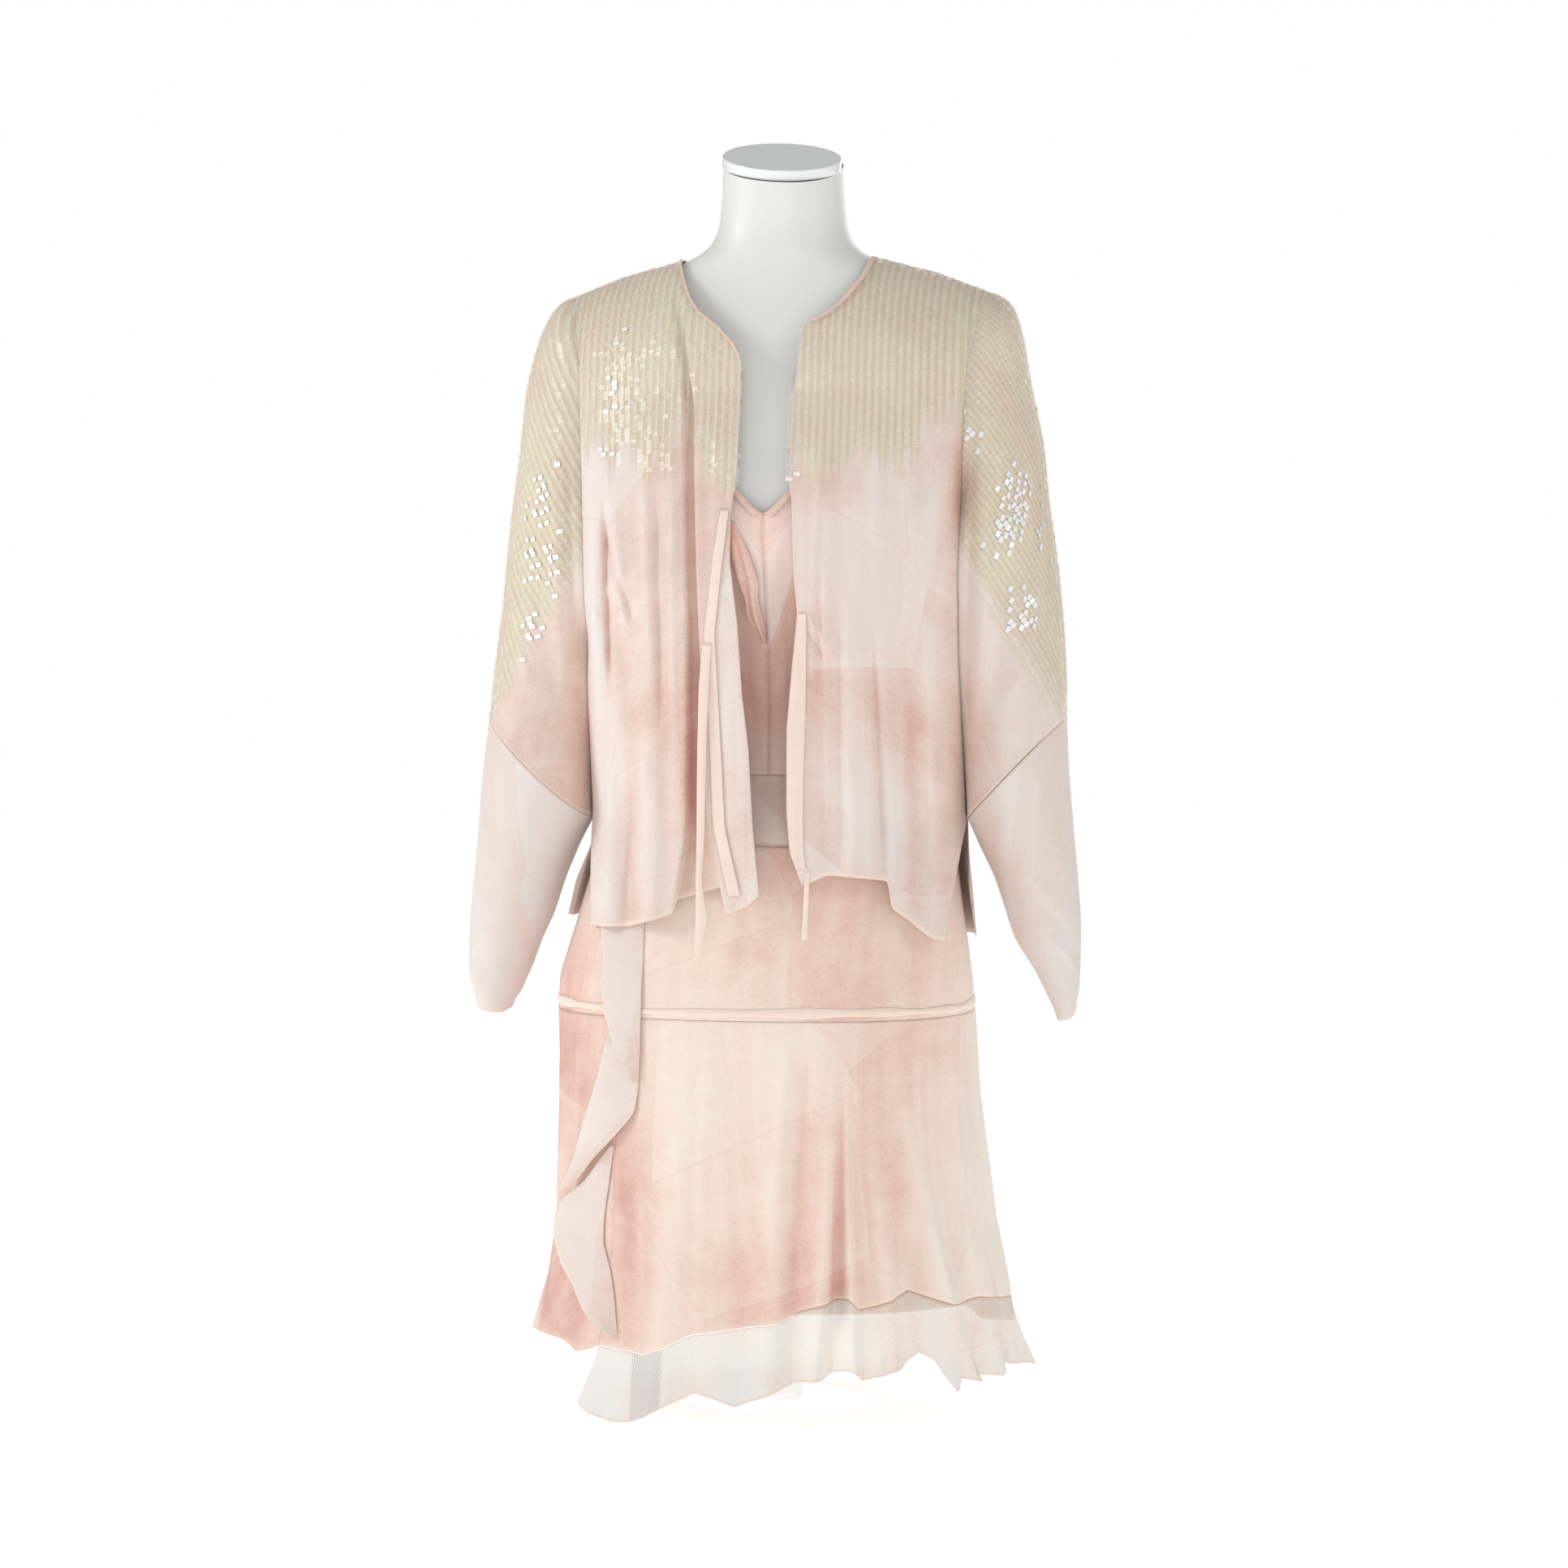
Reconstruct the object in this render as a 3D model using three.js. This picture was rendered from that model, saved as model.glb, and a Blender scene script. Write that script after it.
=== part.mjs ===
import * as THREE from "three";

// Two-piece evening ensemble on a limbless dress form: a V-necked slip dress with a flounced skirt under an
// open jacket with deep sleeves. Millimetres, +Z up, front towards -Y, viewer's right towards +X.
// Turns are degrees round the body from the centre front, positive towards +X.

const CLOTH = 1.2; // wall of each cloth piece
const SEAM = 0.3; // gap between neighbouring pieces
const LAID = 2; // how far out a strip lies that is sewn on top of a cloth wall
const POWER = 2.3; // roundness of the body sections
const DEGREE = Math.PI / 180;
const SHOULDER_START = 960; // height where the jacket begins to bend over the shoulder

// Sections of the dress form: half widths to each side, and depths to front and back
const FORM = [
  { z: 300, left: 150, right: 150, front: 94, back: 96 },
  { z: 342, left: 156, right: 156, front: 98, back: 102 },
  { z: 402, left: 164, right: 164, front: 106, back: 110 },
  { z: 462, left: 164, right: 164, front: 110, back: 114 },
  { z: 542, left: 154, right: 154, front: 108, back: 106 },
  { z: 602, left: 136, right: 136, front: 100, back: 92 },
  { z: 662, left: 122, right: 122, front: 94, back: 82 },
  { z: 722, left: 128, right: 128, front: 104, back: 86 },
  { z: 782, left: 142, right: 142, front: 124, back: 96 },
  { z: 822, left: 150, right: 150, front: 134, back: 102 },
  { z: 862, left: 158, right: 158, front: 130, back: 106 },
  { z: 922, left: 170, right: 170, front: 118, back: 108 },
  { z: 982, left: 176, right: 176, front: 102, back: 102 },
  { z: 1015, left: 174, right: 174, front: 91, back: 96 },
  { z: 1040, left: 166, right: 166, front: 80, back: 88 },
  { z: 1056, left: 150, right: 150, front: 74, back: 82 },
  { z: 1068, left: 128, right: 128, front: 70, back: 76 },
  { z: 1076, left: 108, right: 108, front: 68, back: 72 },
  { z: 1084, left: 92, right: 92, front: 68, back: 68 },
  { z: 1092, left: 76, right: 76, front: 68, back: 64 },
  { z: 1100, left: 67, right: 67, front: 67, back: 60 },
  { z: 1116, left: 60, right: 60, front: 66, back: 53 },
  { z: 1144, left: 57, right: 57, front: 68, back: 46 },
  { z: 1172, left: 56, right: 56, front: 70, back: 42 },
];

// Sections of the skirt, from the hem up to the midriff
const SKIRT = [
  { z: 0, left: 250, right: 224, front: 184, back: 174 },
  { z: 40, left: 244, right: 219, front: 176, back: 168 },
  { z: 75, left: 235, right: 212, front: 171, back: 163 },
  { z: 119, left: 223, right: 207, front: 166, back: 159 },
  { z: 181, left: 216, right: 196, front: 159, back: 152 },
  { z: 296, left: 214, right: 184, front: 150, back: 141 },
  { z: 373, left: 214, right: 181, front: 145, back: 135 },
  { z: 412, left: 212, right: 178, front: 140, back: 132 },
  { z: 462, left: 196, right: 171, front: 134, back: 128 },
  { z: 522, left: 178, right: 163, front: 128, back: 120 },
  { z: 563, left: 165, right: 156, front: 124, back: 116 },
];

// Folds of the skirt, each running from the hip seam to the hem
const SKIRT_FOLDS = [
  { hip: -16, hem: -19, rise: 3, spread: 8 },
  { hip: -4, hem: -1, rise: -2.5, spread: 7 },
  { hip: 21, hem: 12, rise: 5, spread: 3 },
  { hip: 21.5, hem: 16.3, rise: -6, spread: 2.6 },
  { hip: 22, hem: 20.8, rise: 5, spread: 2.4 },
  { hip: 28, hem: 32, rise: 3.5, spread: 3.5 },
  { hip: 33, hem: 43, rise: -3, spread: 6 },
  { hip: 37, hem: 54, rise: 5, spread: 5 },
  { hip: 55, hem: 62, rise: -3, spread: 5 },
  { hip: 72, hem: 72, rise: 4, spread: 5 },
  { hip: 96, hem: 98, rise: 6, spread: 8 },
  { hip: 116, hem: 119, rise: -5, spread: 8 },
  { hip: 136, hem: 140, rise: 9, spread: 9 },
  { hip: 160, hem: 162, rise: -5, spread: 8 },
  { hip: 182, hem: 184, rise: 8, spread: 9 },
  { hip: 204, hem: 205, rise: -5, spread: 8 },
  { hip: 224, hem: 228, rise: 9, spread: 9 },
  { hip: 246, hem: 247, rise: -5, spread: 7 },
  { hip: 262, hem: 264, rise: 8, spread: 7 },
  { hip: 280, hem: 281, rise: -5, spread: 6 },
  { hip: 296, hem: 297, rise: 7, spread: 6 },
  { hip: 312, hem: 311, rise: -4, spread: 5 },
];
const FOLD_TOP = 381;
const FOLD_HEM = 75;

// Heights along the lower edge of the skirt's front, where the flounce is joined
const FLOUNCE_SEAM = [
  { turn: -38, z: 77 },
  { turn: -31, z: 76 },
  { turn: -24, z: 73 },
  { turn: -19, z: 80 },
  { turn: -13.5, z: 93 },
  { turn: -2.5, z: 101 },
  { turn: 3.5, z: 106 },
  { turn: 8, z: 117 },
  { turn: 14.5, z: 125 },
  { turn: 20, z: 129 },
  { turn: 22.5, z: 119 },
  { turn: 28, z: 122 },
  { turn: 38, z: 134 },
  { turn: 51.5, z: 119 },
  { turn: 57, z: 116 },
  { turn: 67, z: 120 },
  { turn: 96, z: 105 },
];

// Lower edge of the flounce, with the waves that push it in and out
const FLOUNCE_HEM = [
  { turn: -38, z: 26, push: 17 },
  { turn: -33.5, z: 18, push: 20 },
  { turn: -29, z: 12, push: 14 },
  { turn: -25, z: 12, push: 7 },
  { turn: -21, z: 18, push: 5 },
  { turn: -16, z: 30, push: 12 },
  { turn: -11, z: 42, push: 8 },
  { turn: -7, z: 38, push: 10 },
  { turn: -3, z: 31, push: 16 },
  { turn: 2, z: 42, push: 8 },
  { turn: 7, z: 53, push: 2 },
  { turn: 11, z: 56, push: 9 },
  { turn: 15.5, z: 60, push: 3 },
  { turn: 19.5, z: 65, push: 12 },
  { turn: 22.5, z: 55, push: 4 },
  { turn: 27.5, z: 59, push: 12 },
  { turn: 32, z: 63, push: 4 },
  { turn: 36, z: 73, push: 9 },
  { turn: 40, z: 77, push: 4 },
  { turn: 44, z: 70, push: 12 },
  { turn: 48, z: 40, push: 19 },
  { turn: 52, z: 51, push: 7 },
  { turn: 57, z: 47, push: 13 },
  { turn: 62, z: 49, push: 4 },
  { turn: 68, z: 47, push: 14 },
  { turn: 74, z: 55, push: 6 },
  { turn: 81, z: 50, push: 15 },
  { turn: 88, z: 46, push: 8 },
  { turn: 95, z: 40, push: 16 },
];

// Lower edge of the skirt's back, which wraps round the left side to the front
const BACK_HEM = [
  { turn: 75, z: 117 },
  { turn: 95, z: 105 },
  { turn: 97, z: 80 },
  { turn: 120, z: 70 },
  { turn: 150, z: 79 },
  { turn: 180, z: 70 },
  { turn: 210, z: 79 },
  { turn: 240, z: 68 },
  { turn: 262, z: 60 },
  { turn: 284, z: 76 },
  { turn: 298, z: 80 },
  { turn: 306, z: 76 },
  { turn: 312, z: 66 },
  { turn: 319, z: 72 },
  { turn: 322, z: 77 },
];

// Ruffle that cascades down the left front, as three flaps: edges and how far each stands off the skirt
const CASCADE_UPPER = [
  { z: 500, left: -154, right: -113, offLeft: 3, offRight: 0.5 },
  { z: 466, left: -152.6, right: -113.4, offLeft: 6, offRight: 0.5 },
  { z: 438, left: -148.2, right: -113.4, offLeft: 8, offRight: 0.5 },
  { z: 410, left: -146.7, right: -113.4, offLeft: 10, offRight: 2.1 },
  { z: 382, left: -141.5, right: -113.4, offLeft: 11, offRight: 2.5 },
  { z: 354, left: -134, right: -113.6, offLeft: 11, offRight: 2.8 },
  { z: 334, left: -122.2, right: -113.8, offLeft: 10, offRight: 3 },
  { z: 322, left: -116, right: -114, offLeft: 7, offRight: 3.2 },
];
const CASCADE_MIDDLE = [
  { z: 378, left: -142, right: -121, offLeft: 1.5, offRight: 0.6 },
  { z: 350, left: -149.5, right: -115.5, offLeft: 3, offRight: 0.6 },
  { z: 321, left: -157, right: -115, offLeft: 5, offRight: 0.8 },
  { z: 296, left: -163.5, right: -117, offLeft: 6.5, offRight: 2.5 },
  { z: 282, left: -167.2, right: -126.5, offLeft: 8, offRight: 5 },
  { z: 260, left: -173, right: -144.5, offLeft: 9, offRight: 8 },
  { z: 246, left: -176.5, right: -157, offLeft: 10, offRight: 10 },
  { z: 227, left: -181.6, right: -171, offLeft: 11, offRight: 12 },
  { z: 212, left: -186.4, right: -184, offLeft: 12, offRight: 12.5 },
];
const CASCADE_LOWER = [
  { z: 262, left: -142.5, right: -140, offLeft: 1.4, offRight: 0.9 },
  { z: 246, left: -154, right: -142.5, offLeft: 3, offRight: 0.9 },
  { z: 226, left: -169, right: -145, offLeft: 6, offRight: 0.9 },
  { z: 208, left: -186, right: -148, offLeft: 9.5, offRight: 0.9 },
  { z: 192, left: -189, right: -150, offLeft: 12, offRight: 0.9 },
  { z: 172, left: -188, right: -150.5, offLeft: 13, offRight: 0.9 },
  { z: 145, left: -182, right: -141.8, offLeft: 14, offRight: 0.9 },
  { z: 121, left: -171.2, right: -137.4, offLeft: 13, offRight: 0.9 },
  { z: 103, left: -157.5, right: -135.5, offLeft: 10, offRight: 0.9 },
  { z: 88, left: -138.5, right: -133.5, offLeft: 6, offRight: 0.9 },
];

// Jacket: shoulder line, centre depths, and the line where the sleeves join the body
const SHOULDER_LINE = [
  { x: 80, z: 1087.5 },
  { x: 92, z: 1086.4 },
  { x: 147, z: 1072 },
  { x: 187, z: 1057 },
  { x: 196, z: 1053 },
];
const JACKET_FRONT = [
  { z: 440, depth: 154, edge: 70 },
  { z: 500, depth: 151, edge: 46 },
  { z: 562, depth: 148, edge: 10 },
  { z: 650, depth: 147, edge: 47 },
  { z: 720, depth: 149, edge: 72 },
  { z: 790, depth: 150, edge: 85 },
  { z: 850, depth: 146, edge: 88 },
  { z: 900, depth: 137, edge: 84 },
  { z: 960, depth: 121, edge: 77 },
];
const JACKET_BACK = [
  { z: 440, depth: 142, edge: 8 },
  { z: 500, depth: 135, edge: -4 },
  { z: 562, depth: 127, edge: -10 },
  { z: 650, depth: 120, edge: 31 },
  { z: 720, depth: 117, edge: 60 },
  { z: 790, depth: 116, edge: 73 },
  { z: 850, depth: 116, edge: 78 },
  { z: 900, depth: 116, edge: 77 },
  { z: 960, depth: 113, edge: 70 },
];
const ARMHOLE = [
  { z: 562, left: 181, right: 176 },
  { z: 650, left: 178, right: 173.5 },
  { z: 720, left: 176.5, right: 172 },
  { z: 790, left: 176.5, right: 172.5 },
  { z: 860, left: 178, right: 175 },
  { z: 920, left: 180, right: 177.5 },
  { z: 975, left: 182, right: 180 },
  { z: 1020, left: 187, right: 188 },
  { z: 1053, left: 196, right: 196 },
];
const FRONT_SIDE_EDGE = [
  { z: 440, left: 171, right: 162 },
  { z: 500, left: 173, right: 169 },
  { z: 562, left: 181, right: 176 },
];
const BACK_SIDE_EDGE = [
  { z: 440, left: 216, right: 184 },
  { z: 500, left: 200, right: 180 },
  { z: 540, left: 182, right: 175.5 },
  { z: 564, left: 178.5, right: 174.5 },
];

// Neckline and front edge of each jacket front, as distances from the centre
const EDGE_LEFT = [
  { z: 480, x: -2 },
  { z: 500, x: -2 },
  { z: 560, x: -8 },
  { z: 630, x: -12 },
  { z: 682, x: -18 },
  { z: 745, x: -22 },
  { z: 803, x: -28.9 },
  { z: 842, x: -28.6 },
  { z: 886, x: -23.6 },
  { z: 938, x: -23 },
  { z: 979, x: -22.7 },
  { z: 990, x: -23.5 },
  { z: 1002, x: -30 },
  { z: 1018, x: -46 },
  { z: 1031, x: -64 },
  { z: 1044, x: -74 },
  { z: 1065, x: -84 },
  { z: 1086, x: -93 },
];
const EDGE_RIGHT = [
  { z: 480, x: 39 },
  { z: 506, x: 38 },
  { z: 537, x: 26 },
  { z: 574, x: 22.7 },
  { z: 651, x: 23 },
  { z: 703, x: 27.7 },
  { z: 756, x: 33 },
  { z: 787, x: 30 },
  { z: 860, x: 27 },
  { z: 872, x: 24.7 },
  { z: 955, x: 24.7 },
  { z: 974, x: 29.1 },
  { z: 1007, x: 31.5 },
  { z: 1019, x: 33.5 },
  { z: 1024, x: 42 },
  { z: 1030, x: 54 },
  { z: 1043, x: 67 },
  { z: 1063, x: 81 },
  { z: 1086, x: 88 },
];

// Lower edges of the jacket, by distance from the centre
const HEM_LEFT = [
  { x: -212, z: 463 },
  { x: -172, z: 463 },
  { x: -128, z: 465 },
  { x: -109, z: 471 },
  { x: -88, z: 477 },
  { x: -84, z: 479 },
  { x: -81, z: 491 },
  { x: -62, z: 497 },
  { x: -37, z: 504 },
  { x: -33, z: 480 },
  { x: -14, z: 486 },
  { x: 0, z: 499 },
];
const HEM_RIGHT = [
  { x: 36, z: 506 },
  { x: 60, z: 516 },
  { x: 85, z: 514 },
  { x: 114, z: 510 },
  { x: 118, z: 486 },
  { x: 138, z: 467 },
  { x: 155, z: 455 },
  { x: 170, z: 452 },
];
const HEM_BACK = [
  { x: -212, z: 467 },
  { x: -150, z: 452 },
  { x: 0, z: 448 },
  { x: 130, z: 444 },
  { x: 178, z: 449 },
];

// The tuck down the left front, between the main panel and the edge strip
const TUCK = [
  { z: 480, from: -83, to: -33, deep: 12 },
  { z: 560, from: -70, to: -51, deep: 13 },
  { z: 735, from: -69, to: -58.5, deep: 12 },
  { z: 940, from: -75, to: -65, deep: 8 },
  { z: 1010, from: -84, to: -75, deep: 5 },
  { z: 1060, from: -95, to: -88, deep: 0 },
];

// Soft folds of the jacket, by side
const JACKET_FOLDS = [
  { side: -1, top: 110, hem: 104, rise: 4, spread: 9 },
  { side: -1, top: 128, hem: 128, rise: -4, spread: 10 },
  { side: -1, top: 146, hem: 152, rise: 4, spread: 9 },
  { side: 1, top: 52, hem: 60, rise: -3, spread: 9 },
  { side: 1, top: 74, hem: 86, rise: 4, spread: 11 },
  { side: 1, top: 100, hem: 118, rise: 6, spread: 8 },
  { side: 1, top: 120, hem: 134, rise: -4, spread: 9 },
  { side: 1, top: 142, hem: 150, rise: 3, spread: 7 },
];
const BACK_FOLDS = [
  { top: -120, hem: -150, rise: 6, spread: 14 },
  { top: -70, hem: -84, rise: -4, spread: 16 },
  { top: -30, hem: -34, rise: 5, spread: 14 },
  { top: 16, hem: 18, rise: -4, spread: 14 },
  { top: 58, hem: 66, rise: 5, spread: 14 },
  { top: 110, hem: 124, rise: -4, spread: 16 },
  { top: 140, hem: 156, rise: 4, spread: 12 },
];

// Sleeves: each station joins a height on the armhole to a point on the outer arm
const SLEEVE_UPPER_LEFT = [
  { z: 1052.6, outZ: 1052.4, outX: 198.5, swing: 0, loop: 0 },
  { z: 1046, outZ: 1048, outX: 209, swing: 0, loop: 0 },
  { z: 1020, outZ: 1036, outX: 220, swing: 0, loop: 0 },
  { z: 975, outZ: 1006, outX: 234, swing: 0, loop: 0 },
  { z: 920, outZ: 965, outX: 244, swing: 0, loop: 0 },
  { z: 860, outZ: 910, outX: 250, swing: 84, loop: 0.02 },
  { z: 790, outZ: 845, outX: 258, swing: 84, loop: 0.06 },
  { z: 720, outZ: 780, outX: 265, swing: 82, loop: 0.2 },
  { z: 650, outZ: 720, outX: 272, swing: 78, loop: 0.5 },
  { z: 600, outZ: 686, outX: 276, swing: 76, loop: 0.78 },
  { z: 562, outZ: 657, outX: 279, swing: 74, loop: 1 },
];
const SLEEVE_UPPER_RIGHT = [
  { z: 1052.6, outZ: 1052.4, outX: 198.5, swing: 0, loop: 0 },
  { z: 1046, outZ: 1045, outX: 213, swing: 0, loop: 0 },
  { z: 1020, outZ: 1030, outX: 221, swing: 0, loop: 0 },
  { z: 975, outZ: 1003, outX: 227, swing: 0, loop: 0 },
  { z: 920, outZ: 960, outX: 235, swing: 0, loop: 0 },
  { z: 860, outZ: 908, outX: 245.5, swing: 84, loop: 0.02 },
  { z: 790, outZ: 845, outX: 252.5, swing: 84, loop: 0.06 },
  { z: 720, outZ: 780, outX: 261.5, swing: 82, loop: 0.2 },
  { z: 650, outZ: 720, outX: 266.5, swing: 78, loop: 0.5 },
  { z: 600, outZ: 686, outX: 267.5, swing: 76, loop: 0.78 },
  { z: 562, outZ: 657, outX: 268, swing: 74, loop: 1 },
];
const SLEEVE_LOWER_LEFT = [
  { z: 560.6, x: 182.7, outZ: 655.8, outX: 279, half: 74, y: -10 },
  { z: 537, x: 195, outZ: 610, outX: 285, half: 68, y: -12 },
  { z: 503, x: 209, outZ: 560, outX: 289, half: 58, y: -15 },
  { z: 467, x: 220, outZ: 515, outX: 293, half: 48, y: -18 },
  { z: 446, x: 230, outZ: 475, outX: 297, half: 40, y: -20 },
  { z: 420, x: 239, outZ: 440, outX: 299, half: 32, y: -22 },
  { z: 395, x: 250, outZ: 410, outX: 299, half: 26, y: -24 },
  { z: 374, x: 258, outZ: 378, outX: 292, half: 20, y: -25 },
];
const SLEEVE_LOWER_RIGHT = [
  { z: 560.6, x: 177.7, outZ: 655.8, outX: 268, half: 74, y: -10 },
  { z: 538, x: 188, outZ: 600, outX: 271, half: 66, y: -12 },
  { z: 508, x: 203, outZ: 550, outX: 276, half: 56, y: -15 },
  { z: 478, x: 213, outZ: 505, outX: 280, half: 46, y: -18 },
  { z: 450, x: 222, outZ: 470, outX: 283, half: 38, y: -20 },
  { z: 420, x: 242, outZ: 430, outX: 283, half: 28, y: -22 },
  { z: 396, x: 254, outZ: 402, outX: 282, half: 22, y: -24 },
  { z: 374, x: 261, outZ: 377, outX: 279, half: 17, y: -25 },
];

// Strips sewn on the fronts and the hanging ties: centre line and half width
const BAND_LEFT = [
  { z: 850, x: -34, half: 4 },
  { z: 797, x: -41, half: 4.5 },
  { z: 736, x: -48, half: 5 },
  { z: 662, x: -44.5, half: 5 },
  { z: 560, x: -39.5, half: 5.5 },
  { z: 497, x: -24.5, half: 5.5 },
];
const FACING_RIGHT = [
  { z: 756, x: 38, half: 3.5 },
  { z: 703, x: 35, half: 6 },
  { z: 651, x: 32, half: 8 },
  { z: 574, x: 31, half: 7 },
  { z: 537, x: 33, half: 6 },
  { z: 522, x: 37, half: 4.5 },
];
const TIE_LEFT = [
  { z: 728, x: -50, half: 4 },
  { z: 690, x: -53, half: 4.5 },
  { z: 640, x: -55, half: 4 },
  { z: 560, x: -56.3, half: 3.6 },
  { z: 507, x: -57.8, half: 2.6 },
  { z: 476, x: -54.8, half: 5.5 },
  { z: 437, x: -59.4, half: 3.2 },
];
const TIE_RIGHT = [
  { z: 519, x: 43, half: 2 },
  { z: 500, x: 42, half: 2 },
  { z: 478, x: 41, half: 2 },
  { z: 457, x: 40, half: 2.6 },
];

// Slip dress: bodice, straps and the folded drape at the neckline
const BODICE_OFF = 5.5;
const BODICE_HEM = 606;
const V_POINT = 846;
const STRAP_JOIN = 955;
const UNDERARM = 850;
const BACK_TOP = 896;
const MIDRIFF = { top: 605.6, bottom: 529, offTop: 5.3, offBottom: -1.7 };
const YOKE = { top: 541, bottom: 381 };
const STRAP = { half: 9, front: 82, top: 121, back: 90, off: 1.6 };
const DRAPE = [
  { z: 868, left: -20, right: -14, off: 2 },
  { z: 840, left: -26, right: -5, off: 4 },
  { z: 810, left: -28, right: 1, off: 7 },
  { z: 768, left: -16, right: 2, off: 8 },
  { z: 750, left: -14, right: 2, off: 8 },
  { z: 727, left: -2, right: 2, off: 5 },
];

// Stand
const CAP = { radius: 56, high: 10, tilt: 18, roll: 4, centre: -14 };
const POLE_RADIUS = 17;
const BASE = { radius: 96, high: 6, edge: 1.5 };

const COLOURS = {
  form: { color: 0xf4f4f2, roughness: 0.45 },
  gloss: { color: 0xf7f7f6, roughness: 0.15 },
  blush: { color: 0xe6cfc5, roughness: 0.8 },
  ivory: { color: 0xece2d6, roughness: 0.8 },
  pink: { color: 0xdcb8ae, roughness: 0.8 },
  yoke: { color: 0xe0d5c4, roughness: 0.7 },
};

const group = new THREE.Group();

// Value of one column of a table at a place between its rows
function lookup(rows, key, place, column) {
  if (place <= rows[0][key]) return rows[0][column];
  for (let i = 1; i < rows.length; i += 1) {
    const low = rows[i - 1];
    const high = rows[i];
    if (place <= high[key]) {
      const share = (place - low[key]) / (high[key] - low[key]);
      return low[column] + (high[column] - low[column]) * share;
    }
  }
  return rows[rows.length - 1][column];
}

function blend(a, b, share) {
  return a + (b - a) * share;
}

function smoothStep(from, to, value) {
  const share = Math.min(Math.max((value - from) / (to - from), 0), 1);
  return share * share * (3 - 2 * share);
}

function softMax(a, b, round) {
  return (a + b + Math.sqrt((a - b) ** 2 + round * round)) / 2;
}

function bump(distance, spread) {
  return Math.exp(-((distance / spread) ** 2));
}

function signedPower(value, power) {
  return Math.sign(value) * Math.abs(value) ** power;
}

// Point on a body section at a height and a turn, moved out
function ringPoint(rows, z, turn, out) {
  const sine = Math.sin(turn * DEGREE);
  const cosine = Math.cos(turn * DEGREE);
  const width = lookup(rows, "z", z, sine < 0 ? "left" : "right") + out;
  const depth = lookup(rows, "z", z, cosine < 0 ? "back" : "front") + out;
  const x = width * signedPower(sine, 2 / POWER);
  const y = -depth * signedPower(cosine, 2 / POWER);
  return new THREE.Vector3(x, y, z);
}

// Depth of a body section at a distance from the centre
function ringDepth(rows, z, x, face, out) {
  const width = lookup(rows, "z", z, x < 0 ? "left" : "right") + out;
  if (Math.abs(x) >= width) return -1000;
  const depth = lookup(rows, "z", z, face) + out;
  return depth * (1 - (Math.abs(x) / width) ** POWER) ** (1 / POWER);
}

// Closed wall of cloth on a grid of inner points, rows from top to bottom and columns round the body.
// With level edges, the first and last columns gain their thickness without moving sideways.
function wall(rows, thickness, closed = false, levelEdges = false) {
  const high = rows.length;
  const wide = rows[0].length;
  const inner = [];
  const outer = [];
  for (let j = 0; j < high; j += 1) {
    for (let i = 0; i < wide; i += 1) {
      const before = closed ? (i + wide - 1) % wide : Math.max(i - 1, 0);
      const after = closed ? (i + 1) % wide : Math.min(i + 1, wide - 1);
      const down = rows[Math.min(j + 1, high - 1)][i].clone().sub(rows[Math.max(j - 1, 0)][i]);
      const along = rows[j][after].clone().sub(rows[j][before]);
      const normal = down.cross(along).normalize();
      const atEdge = levelEdges && (i === 0 || i === wide - 1);
      if (atEdge && Math.abs(normal.x) < 0.9) normal.setX(0).normalize();
      inner.push(rows[j][i].x, rows[j][i].y, rows[j][i].z);
      const moved = rows[j][i].clone().addScaledVector(normal, thickness);
      outer.push(moved.x, moved.y, moved.z);
    }
  }
  const faces = [];
  const shift = high * wide;
  const quad = (a, b, c, d) => faces.push(a, b, c, a, c, d);
  const span = closed ? wide : wide - 1;
  for (let j = 0; j < high - 1; j += 1) {
    for (let i = 0; i < span; i += 1) {
      const a = j * wide + i;
      const b = j * wide + ((i + 1) % wide);
      const c = a + wide;
      const d = b + wide;
      quad(a + shift, c + shift, d + shift, b + shift);
      quad(a, b, d, c);
    }
  }
  for (let i = 0; i < span; i += 1) {
    const next = (i + 1) % wide;
    const last = (high - 1) * wide;
    quad(i + shift, next + shift, next, i);
    quad(last + next + shift, last + i + shift, last + i, last + next);
  }
  if (!closed) {
    for (let j = 0; j < high - 1; j += 1) {
      const a = j * wide;
      const b = a + wide - 1;
      quad(a + wide + shift, a + shift, a, a + wide);
      quad(b + shift, b + wide + shift, b + wide, b);
    }
  }
  return solid([...inner, ...outer], faces);
}

// Solid body through closed rings of points, from bottom to top, with flat ends
function loft(rings) {
  const wide = rings[0].length;
  const points = [];
  const faces = [];
  for (const ring of rings) {
    for (const point of ring) points.push(point.x, point.y, point.z);
  }
  for (let j = 0; j < rings.length - 1; j += 1) {
    for (let i = 0; i < wide; i += 1) {
      const a = j * wide + i;
      const b = j * wide + ((i + 1) % wide);
      faces.push(a, b, b + wide, a, b + wide, a + wide);
    }
  }
  for (const [index, ring] of [rings[0], rings[rings.length - 1]].entries()) {
    const middle = ring.reduce((sum, point) => sum.add(point), new THREE.Vector3());
    middle.divideScalar(wide);
    const centre = points.length / 3;
    points.push(middle.x, middle.y, middle.z);
    const start = index === 0 ? 0 : (rings.length - 1) * wide;
    for (let i = 0; i < wide; i += 1) {
      const next = (i + 1) % wide;
      if (index === 0) faces.push(centre, start + next, start + i);
      else faces.push(centre, start + i, start + next);
    }
  }
  return solid(points, faces);
}

function solid(points, faces) {
  const geometry = new THREE.BufferGeometry();
  geometry.setAttribute("position", new THREE.Float32BufferAttribute(points, 3));
  geometry.setIndex(faces);
  geometry.computeVertexNormals();
  return geometry;
}

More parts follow.
